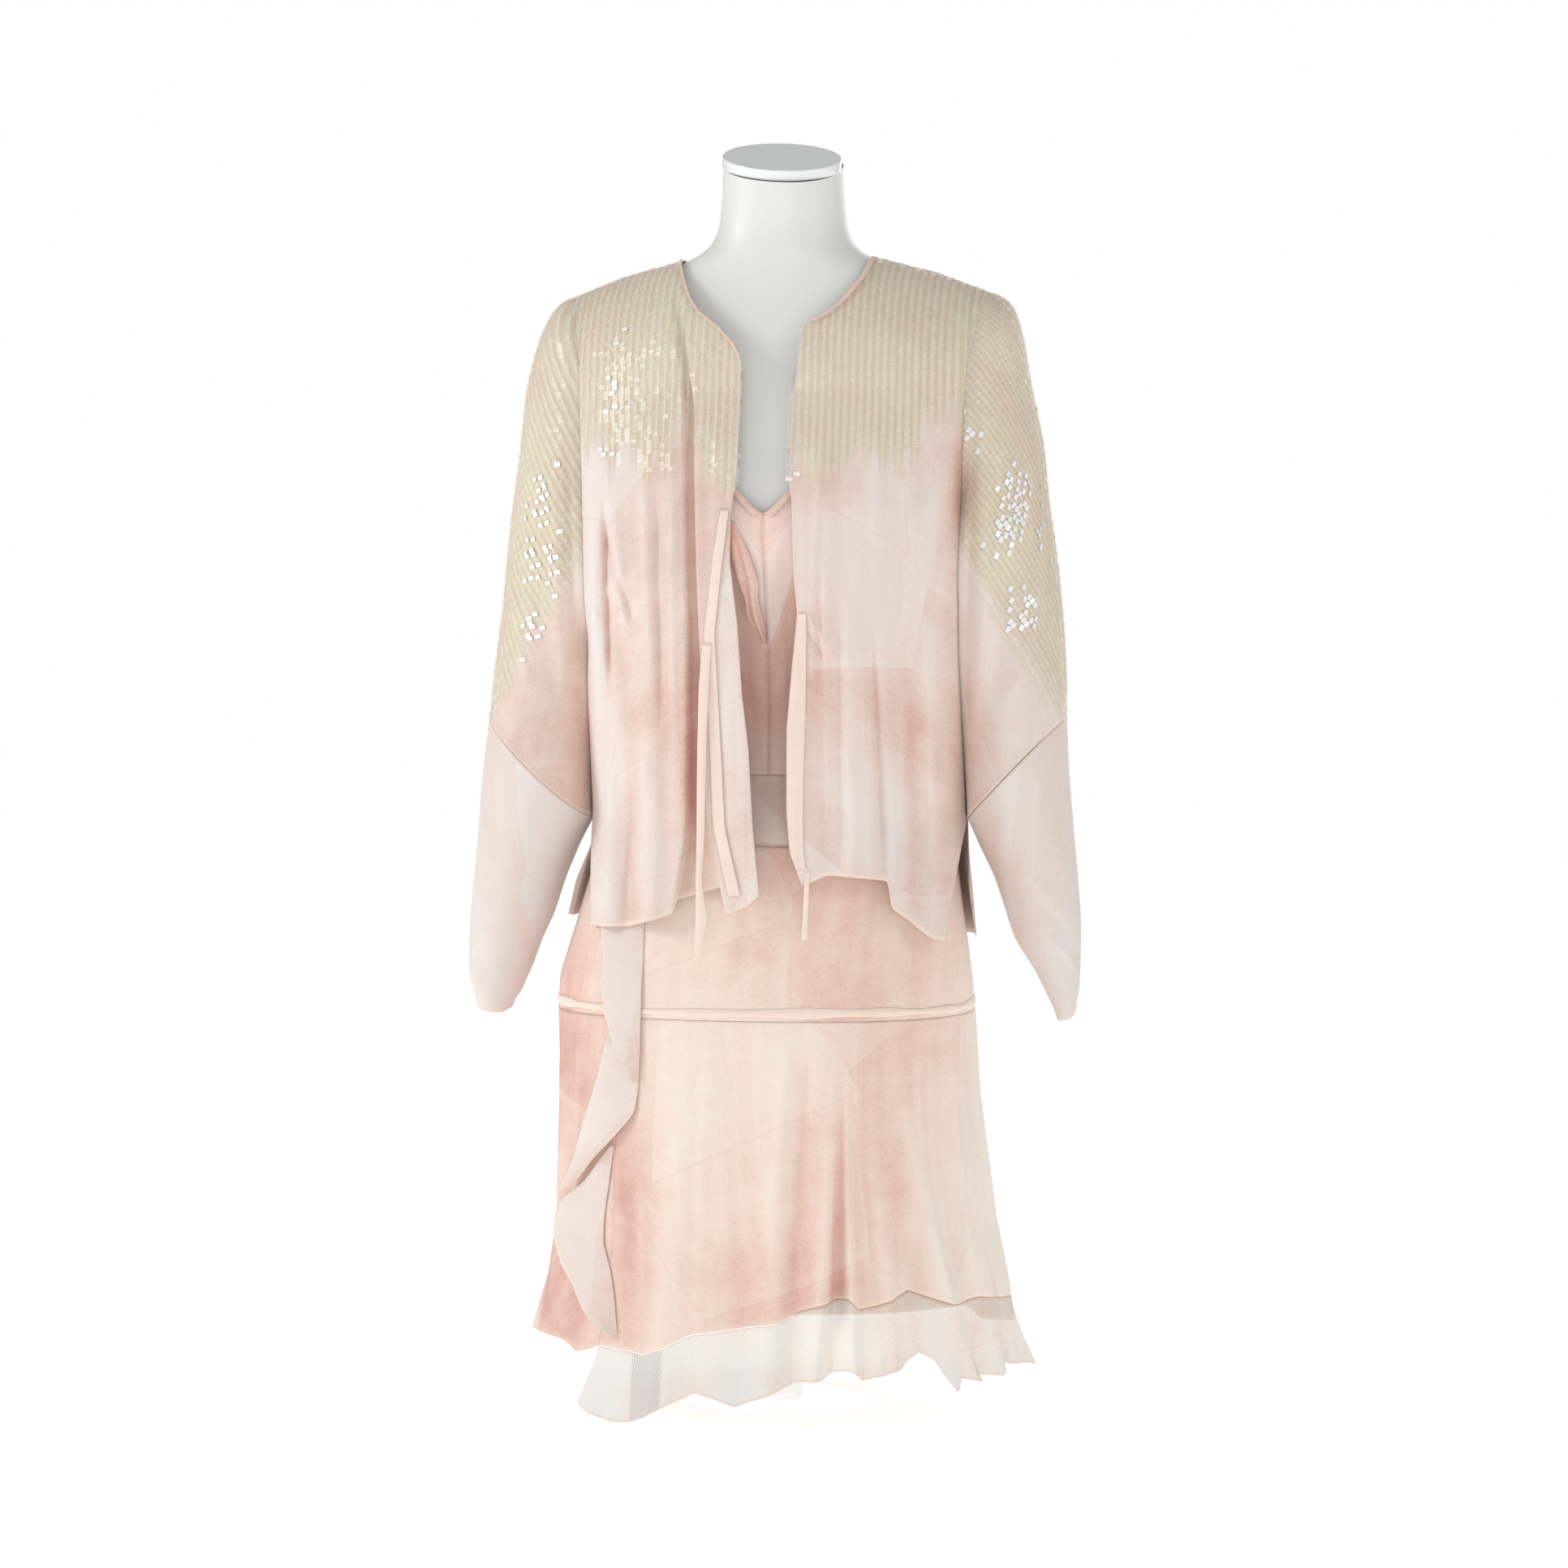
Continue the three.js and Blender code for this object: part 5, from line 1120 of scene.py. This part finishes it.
def jacket_dye_and_fold_shade(x, z, u, v):
    pink = 0.24 + spots(
        [
            (-96, 680, 14, 90, 0.2), (-70, 640, 10, 120, 0.35), (-60, 640, 12, 160, 0.3),
            (-110, 650, 26, 40, 0.2), (-150, 620, 40, 60, -0.22), (-20, 640, 22, 90, -0.25),
            (-120, 880, 30, 40, -0.1), (52, 720, 18, 60, 0.2), (90, 820, 40, 60, -0.15),
            (120, 650, 30, 40, 0.12), (110, 560, 30, 50, -0.2), (70, 600, 20, 60, -0.1),
            # (178, 860) is painted shade: a dark line down the trough under the right armhole
            (60, 900, 20, 20, 0.25), (178, 860, 12, 60, 0.8), (40, 870, 50, 26, 0.2),
            (-100, 905, 30, 30, 0.25), (-164, 740, 9, 100, -0.4),
        ],
        x,
        z,
    )
    # Painted shade: pinker in the troughs of the front folds, paler on their ridges
    pink = pink - 0.03 * np.clip(front_rise(x, z), -6, 4) * step(1, 0.97, v) * (np.abs(x) < 172)
    yoke_share = 0.5 + (z - yoke_limit(x)) / 140
    return pink, np.clip(yoke_share, 0, 1), np.maximum(step(0.99, 1, v), 0)


JACKET_SHADES = [(0.0, "#EAE2DE"), (0.34, "#EAD9CE"), (0.66, "#E1C4B8"), (1.0, "#CB9C8E")]
jacket_chiffon = chiffon("jacket_chiffon", JACKET_SHADES, 0.97, patch=7.0, seams=0.6, beaded=True, seed=5.6)

jacket_pieces = {}
for side, side_name, edge, hem in [(-1, "left", edge_left, hem_left), (1, "right", edge_right, hem_right)]:

    def jacket_front_place(u, v, side=side, side_name=side_name, edge=edge, hem=hem):
        height = lambda x: level(x + 0 * v, v, lambda p: shoulder_curve(np.abs(p)), hem)
        near = settled(side * 60, height, edge)
        far = settled(side * 180, height, lambda z: side * side_edge(z, side_name, 562, 0))
        x = near + (far - near) * u
        x, y, z = front_point(x, height(x), INNER)
        return x, np.where(v == 0, np.minimum(y, 0) - 0.2, y), z

    piece = grid_mesh(
        f"jacket_front_cloth_{side_name}",
        96,
        190,
        jacket_front_place,
        jacket_chiffon,
        dye=jacket_dye_and_fold_shade,
        level=True,
    )
    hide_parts(f"jacket_front_{side_name}")
    jacket_pieces[side_name] = piece

NECK_SIDE = 92
NECK_RISE = 6


def back_top_line(x):
    away = np.minimum(np.abs(x) / NECK_SIDE, 1)
    raised = shoulder_curve(NECK_SIDE) + NECK_RISE * (1 - away * away)
    return np.where(away == 1, shoulder_curve(np.abs(x)), raised)


def jacket_back_place(u, v):
    height = lambda x: level(x + 0 * v, v, back_top_line, hem_back)
    near = settled(180, height, lambda z: side_edge(z, "right", 575, 1))
    far = settled(-180, height, lambda z: -side_edge(z, "left", 575, 1))
    share = u + (0.5 - 0.5 * np.cos(np.pi * u) - u) * 0.6
    x = near + (far - near) * share
    x, y, z = back_point(x, height(x), INNER)
    return x, np.where(v == 0, np.maximum(y, 0) + 0.2, y), z


jacket_back = grid_mesh(
    "jacket_back_cloth", 150, 130, jacket_back_place, jacket_chiffon, dye=jacket_dye_and_fold_shade, level=True
)
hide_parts("jacket_back")
jacket_pieces["back"] = jacket_back


# Jacket sleeves: cut wide and deep at the armhole. The upper part carries on the beaded rows at a slant,
# and a slanting seam joins it to the lower part, which narrows to an open cuff.
# Height inside, height outside, outer edge, swing, how far the row is a loop of its own
UPPER = {
    "left": [
        (1052.6, 1052.4, 198.5, 0, 0), (1046, 1048, 209, 0, 0), (1020, 1036, 220, 0, 0),
        (975, 1006, 234, 0, 0), (920, 965, 244, 0, 0), (860, 910, 250, 84, 0.02),
        (790, 845, 258, 84, 0.06), (720, 780, 265, 82, 0.2), (650, 720, 272, 78, 0.5),
        (600, 686, 276, 76, 0.78), (562, 657, 279, 74, 1),
    ],
    "right": [
        (1052.6, 1052.4, 198.5, 0, 0), (1046, 1045, 213, 0, 0), (1020, 1030, 221, 0, 0),
        (975, 1003, 227, 0, 0), (920, 960, 235, 0, 0), (860, 908, 245.5, 84, 0.02),
        (790, 845, 252.5, 84, 0.06), (720, 780, 261.5, 82, 0.2), (650, 720, 266.5, 78, 0.5),
        (600, 686, 267.5, 76, 0.78), (562, 657, 268, 74, 1),
    ],
}
# Height inside, inner edge, height outside, outer edge, half depth, middle in depth
LOWER = {
    "left": [
        (561.6, 182.2, 656.8, 279, 74.4, -10), (537, 195, 610, 285, 68, -12),
        (503, 209, 560, 289, 58, -15), (467, 220, 515, 293, 48, -18), (446, 230, 475, 297, 40, -20),
        (420, 239, 440, 299, 32, -22), (395, 250, 410, 299, 26, -24), (374, 258, 378, 292, 20, -25),
    ],
    "right": [
        (561.6, 177.2, 656.8, 268, 74.4, -10), (538, 188, 600, 271, 66, -12),
        (508, 203, 550, 276, 56, -15), (478, 213, 505, 280, 46, -18), (450, 222, 470, 283, 38, -20),
        (420, 242, 430, 283, 28, -22), (396, 254, 402, 282, 22, -24), (374, 261, 377, 279, 17, -25),
    ],
}
CREASES_UPPER = [
    (0.06, 900, 0.03, 640, 0.02, -4), (0.12, 860, 0.09, 660, 0.025, 3), (0.2, 760, 0.14, 640, 0.03, -2.5),
    (0.34, 740, 0.22, 640, 0.03, 2.5), (0.6, 780, 0.7, 640, 0.04, 3), (0.74, 800, 0.82, 640, 0.03, -3),
    (0.88, 860, 0.92, 650, 0.03, 3),
]
CREASES_LOWER = [
    (0.05, 560, 0.3, 470, 0.03, 2.4), (0.1, 520, 0.36, 440, 0.025, -2.2),
    (0.14, 470, 0.42, 410, 0.025, 2.2), (0.3, 600, 0.38, 480, 0.03, 1.8),
    (0.06, 440, 0.3, 395, 0.03, -1.6), (0.55, 600, 0.7, 480, 0.04, 2.4),
    (0.62, 500, 0.86, 420, 0.03, -2.2), (0.6, 450, 0.9, 400, 0.03, 2), (0.94, 560, 0.9, 430, 0.03, 2),
]
SLANT = 36
sleeve_chiffon = {
    name: chiffon(
        f"sleeve_chiffon_{name}",
        JACKET_SHADES,
        0.97,
        patch=6.5,
        seams=0.5,
        beaded=True,
        slant=slant,
        seed=seed,
    )
    for name, slant, seed in [("left", -SLANT, 3.3), ("right", SLANT, 8.1)]
}
forearm_chiffon = chiffon("forearm_chiffon", JACKET_SHADES, 0.9, patch=7.0, seams=0.5, seed=6.4)


def sleeve_dye(x, z, u, v):
    away = np.abs(x)
    limit = 800 - (away - 180) * 1.7
    beads = 0.5 + (z - limit) / 140
    pink = 0.2 + spots([(184, 640, 16, 60, 0.3), (230, 640, 30, 40, 0.06)], away, z)
    return pink, np.clip(beads, 0, 1), step(0.99, 1, v) * 0.7


def evenly(rows):
    """Curves of each column of a table whose rows are spaced evenly from 0 to 100"""
    places = [100 * k / (len(rows) - 1) for k in range(len(rows))]
    return [curve(list(zip(places, column)), 1, 4) for column in zip(*rows)]


for side, side_name in SIDES:
    stations = evenly(UPPER[side_name])

    def upper_place(u, v, side=side, side_name=side_name, stations=stations):
        z, out_z, out_x, swing, loop = (station(100 * v) for station in stations)
        edge = armhole[side_name](z)
        front = jacket_depth(side * edge, z, front_depth, front_reach, "front") + INNER
        back = jacket_depth(side * edge, z, back_depth, back_reach, "back") + INNER
        around = np.pi * u
        sine = np.sin(around)
        reach = sine + (sine * sine - sine) * loop
        start = edge - 0.4 + 1.2 * loop
        rise = creases(CREASES_UPPER, u, z) + ripple(u * 400, z, 26, 60, 1.8, 3.1 + side)
        rise = rise * np.minimum(1, sine * 5) * step(0, 0.2, v) * step(1, 0.93, v)
        pinch = armhole_dip(side_name, z) * np.exp(-((sine / 0.16) ** 2)) * (u < 0.5)
        swung = loop * swing * np.sin(2 * around)
        y = (back - front) / 2 - ((front + back) / 2 + rise * 0.7) * np.cos(around) - swung + pinch
        x = start + (out_x - start) * reach + rise * sine * 0.7
        return side * x, y, z + (out_z - z) * reach

    piece = grid_mesh(
        f"jacket_sleeve_cloth_{side_name}",
        120,
        110,
        upper_place,
        sleeve_chiffon[side_name],
        inside=(side * 0.2, 0),
        dye=sleeve_dye,
    )
    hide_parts(f"jacket_sleeve_upper_{side_name}")
    jacket_pieces[f"sleeve_{side_name}"] = piece

    stations = evenly(LOWER[side_name])

    def lower_place(u, v, side=side, stations=stations):
        z, x_in, out_z, out_x, half, middle = (station(100 * v) for station in stations)
        around = 2 * np.pi * u
        reach = (1 - np.cos(around)) / 2
        rise = creases(CREASES_LOWER, u, z) + ripple(np.sin(around) * 50, z, 18, 40, 1.2, 9.1)
        rise = rise * step(0, 0.1, v) * step(1, 0.95, v) * np.sin(np.pi * u)
        x = x_in + (out_x - x_in) * reach - rise * np.cos(around) * 0.5
        y = middle - (half + rise) * np.sin(around)
        rounded = 9 * step(0.84, 1, v) * np.abs(np.cos(around)) ** 5
        return side * x, y, z + (out_z - z) * reach + rounded

    piece = grid_mesh(
        f"jacket_forearm_cloth_{side_name}",
        100,
        90,
        lower_place,
        forearm_chiffon,
        inside=(side * 0.25, -0.02),
        tube=True,
        dye=lambda x, z, u, v: (
            -0.06 + spots([(200, 520, 18, 70, 0.5 if side > 0 else 0.1)], np.abs(x), z),
            0 * x,
            np.maximum(step(0.97, 1, v), step(0.02, 0, v)),
        ),
    )
    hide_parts(f"jacket_sleeve_lower_{side_name}")


# Jacket trimmings: pink binding round the neckline, a doubled band down the left front, a cream facing
# down the right edge, and two narrow ribbon ties.
BIND_WIDE = 5


def neck_edge_place(side, first, last):
    edge = edge_left if side < 0 else edge_right

    def place(u, v):
        angle = np.radians(first + (last - first) * v)
        height = lambda x: SHOULDER_START + (shoulder_curve(np.abs(x)) - SHOULDER_START) * np.sin(angle)
        near = settled(side * 60, height, edge)
        x = near + side * (0.2 + (2.2 if side < 0 else 4.4) * u)
        x, y, z = front_point(x, height(x), 0.4 * np.sin(np.pi * u))
        return x, y - 2.55 * np.cos(angle), z + 2.55 * np.sin(angle)

    return place


def neck_back_place(u, v):
    x = 84 - 170 * v
    x, y, z = back_point(x, back_top_line(x) - BIND_WIDE * u, 3.4)
    return x, np.maximum(y, 1), z + np.where(np.abs(x) > 80, 2, 0)


neck_edges = {}
for part, place, inside in [
    ("left", neck_edge_place(-1, 78, 13), (0, 0)),
    ("right", neck_edge_place(1, 78, 29), (0, 0)),
    ("back", neck_back_place, (0, 0)),
]:
    piece = grid_mesh(f"jacket_neck_edge_{part}", 6, 70, place, binding, inside=inside, thick=0.6)
    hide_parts(f"jacket_neck_binding_{part}")
    neck_edges[part] = piece

# Height, middle, half width
BAND_LEFT = [
    (850, -34, 4), (797, -41, 4.5), (736, -48, 5), (662, -44.5, 5), (560, -39.5, 5.5), (497, -24.5, 5.5),
]
FACING_RIGHT = [(756, 38, 3.5), (703, 35, 6), (651, 32, 8), (574, 31, 7), (537, 33, 6), (522, 37, 4.5)]
TIE_LEFT = [
    (728, -50, 4), (690, -53, 4.5), (640, -55, 4), (560, -56.3, 3.6), (507, -57.8, 2.6),
    (476, -54.8, 5.5), (437, -59.4, 3.2),
]
TIE_RIGHT = [(519, 43, 2), (500, 42, 2), (478, 41, 2), (457, 40, 2.6)]


def strip_place(rows, floor_z):
    middle, half = curve(rows, 1, 6), curve(rows, 2, 6)
    top, low = max(rows)[0], min(rows)[0]

    def place(u, v):
        z = top + (low - top) * v
        x = middle(z) + (u - 0.5) * 2 * half(z)
        x, y, _ = front_point(x, np.maximum(z, floor_z), 2.0 + 0.3 * np.sin(np.pi * u))
        return x, y, z

    return place


def tie_place(rows, side):
    middle, half = curve(rows, 1, 6), curve(rows, 2, 5)
    top, low = max(rows), min(rows)
    pin = -46.0 if side < 0 else 44.0

    def place(u, v):
        z = top[0] + (low[0] - top[0]) * v
        x = middle(z) + (u - 0.5) * 2 * half(z)
        _, fall, _ = front_point(np.full_like(z, pin), np.maximum(z, 505), 0)
        start = np.full_like(z, float(top[1]))
        anchor = jacket_depth(start, np.maximum(z, 500), front_depth, front_reach, "front")
        lift = 3.4 if side < 0 else 1.7
        cup = 0.8 * np.sin(np.pi * u) + 0.8 * np.sin(7 * v)
        return x, -(np.maximum(anchor, -fall) + lift + step(0, 0.3, v) + cup * step(0, 0.15, v)), z

    return place


trims = {}
for trim_name, place, node_name in [
    ("jacket_band_cloth", strip_place(BAND_LEFT, 505), "jacket_front_band_left"),
    ("jacket_facing_cloth", strip_place(FACING_RIGHT, 519), "jacket_front_facing_right"),
    ("jacket_tie_ribbon_left", tie_place(TIE_LEFT, -1), "jacket_tie_left"),
    ("jacket_tie_ribbon_right", tie_place(TIE_RIGHT, 1), "jacket_tie_right"),
]:
    piece = grid_mesh(trim_name, 10, 120, place, tape_silk, thick=0.6)
    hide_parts(node_name)
    trims[trim_name] = piece


# Paillettes: thin clear oblong plates sewn down one by one in rows. Most lie flat and hardly show. Groups
# on the sleeves and beside the armholes get an opaque white finish instead: a painted glint.
PAILLETTE = (6.0, 4.0, 0.22)
PLATE_PITCH = 0.0044
PLATE_OFF = 0.75
MISSED = 0.0016
YOKE_EDGE = 0.6
YOKE_RAGGED = 0.16
PAINTED_GLINT_BEHIND = 0.02
ROLL = 6
TILT = (4, 14)
# Middle across and up, half width, half height, greatest chance of a plate with a painted glint
PAINTED_GLINT_GROUPS = [
    (-215, 862, 14, 22, 0.6), (-219, 815, 15, 30, 0.8), (-226, 738, 15, 24, 0.75),
    (-144, 1012, 8, 6, 0.6), (-145, 955, 5, 24, 0.45), (-150, 896, 6, 14, 0.4), (224, 870, 12, 28, 0.55),
    (226, 826, 18, 24, 0.85), (234, 758, 12, 18, 0.7), (212, 738, 12, 8, 0.6), (182, 916, 12, 12, 0.6),
    (28, 862, 5, 14, 0.5),
]
clear = mottled(
    "paillette_clear", 0.1, ("#EFEDE2", "#FFFFFF"), 120.0, Alpha=0.13, Coat_Weight=0.6, Coat_Roughness=0.08
)
# Opaque white finish of the glinting plates: a painted glint, the same from any side
painted_glint_finish = mottled(
    "paillette_painted_glint", 0.1, ("#FAFAFA", "#FFFFFF"), 200.0, Coat_Weight=1.0, Coat_Roughness=0.05, Alpha=0.96
)

dice = random.Random(41)
plated = {"left": 0, "right": 0, "back": 0, "sleeve_left": -SLANT, "sleeve_right": SLANT}
for part, slant in plated.items():
    piece = jacket_pieces[part]
    points, s, t, dyed = charts[piece.name].values()
    along_s, along_t = np.gradient(points, axis=1), np.gradient(points, axis=0)
    along_s /= np.linalg.norm(along_s, axis=2, keepdims=True) + 1e-9
    along_t /= np.linalg.norm(along_t, axis=2, keepdims=True) + 1e-9
    count = points.shape[0] * points.shape[1]
    tree = kdtree.KDTree(count)
    for k, (a, b) in enumerate(zip(s.ravel(), t.ravel())):
        tree.insert((a, b, 0), k)
    tree.balance()
    flat_points, flat_s, flat_t = points.reshape(-1, 3), along_s.reshape(-1, 3), along_t.reshape(-1, 3)
    inside_yoke = dyed[..., 1].ravel()
    angle = math.radians(-slant)
    row_way = np.array([-math.sin(angle), math.cos(angle)])
    step_way = np.array([math.cos(angle), math.sin(angle)])
    size = max(np.abs(s).max() * 2, t.max()) * 1.1
    middle = np.array([0.0, t.max() / 2])
    bm = bmesh.new()
    centre = np.array([{"sleeve_left": -0.2, "sleeve_right": 0.2}.get(part, 0.0), 0, 0])
    rows_across = int(size / ROW_PITCH)
    plates_down = int(size / PLATE_PITCH)
    origin_row = round(float(middle @ step_way) / ROW_PITCH)
    for i in range(-rows_across // 2, rows_across // 2):
        reach = YOKE_EDGE - YOKE_RAGGED * dice.random()
        for j in range(-plates_down // 2, plates_down // 2):
            along_row = float(middle @ row_way) + j * PLATE_PITCH
            spot = step_way * ((i + origin_row + 0.5) * ROW_PITCH) + row_way * along_row
            found, k, gap = tree.find((spot[0], spot[1], 0))
            if gap > MISSED or inside_yoke[k] < reach:
                continue
            away = spot - np.array(found[:2])
            place = flat_points[k] + flat_s[k] * away[0] + flat_t[k] * away[1]
            across_way = Vector(flat_s[k] * step_way[0] + flat_t[k] * step_way[1]).normalized()
            down_way = Vector(flat_s[k] * row_way[0] + flat_t[k] * row_way[1]).normalized()
            normal = across_way.cross(down_way).normalized()
            if normal.dot(Vector(place - centre) * Vector((1, 1, 0.4))) < 0:
                normal = -normal
            x_mm, z_mm = place[0] / MILLIMETRE, place[2] / MILLIMETRE
            painted_glint_chance = 0.0
            if place[1] < PAINTED_GLINT_BEHIND and part != "back":
                painted_glint_chance = sum(
                    p * math.exp(-(((x_mm - a) / w) ** 2) - ((z_mm - b) / h) ** 2)
                    for a, b, w, h, p in PAINTED_GLINT_GROUPS
                )
            # Plates in front near a glint group take the painted glint finish by chance
            has_painted_glint = dice.random() < painted_glint_chance
            rolled = Matrix.Rotation(math.radians(dice.uniform(-ROLL, ROLL)), 3, "X")
            tilt = rolled @ Matrix.Rotation(math.radians(dice.uniform(*TILT)), 3, "Y")
            turn = Matrix((across_way, normal.cross(across_way), normal)).transposed() @ tilt
            if turn.determinant() < 0:
                turn = turn @ Matrix.Diagonal((1, -1, 1))
            shape = turn.to_4x4() @ Matrix.Diagonal((*[v * MILLIMETRE for v in PAILLETTE], 1))
            rise = (CHIFFON_THICK + PLATE_OFF) * MILLIMETRE
            matrix = Matrix.Translation(Vector(place) + normal * rise) @ shape
            made = bmesh.ops.create_cube(bm, size=1, matrix=matrix)
            if has_painted_glint:
                for face in {f for vert in made["verts"] for f in vert.link_faces}:
                    face.material_index = 1
    rows_piece = object_from(bm, f"paillettes_{part}", clear, painted_glint_finish)
    extra = [rows_piece]
    if part in neck_edges:
        extra.append(neck_edges[part])
    if part == "left":
        extra += [trims["jacket_band_cloth"], trims["jacket_tie_ribbon_left"]]
    if part == "right":
        extra += [trims["jacket_facing_cloth"], trims["jacket_tie_ribbon_right"]]
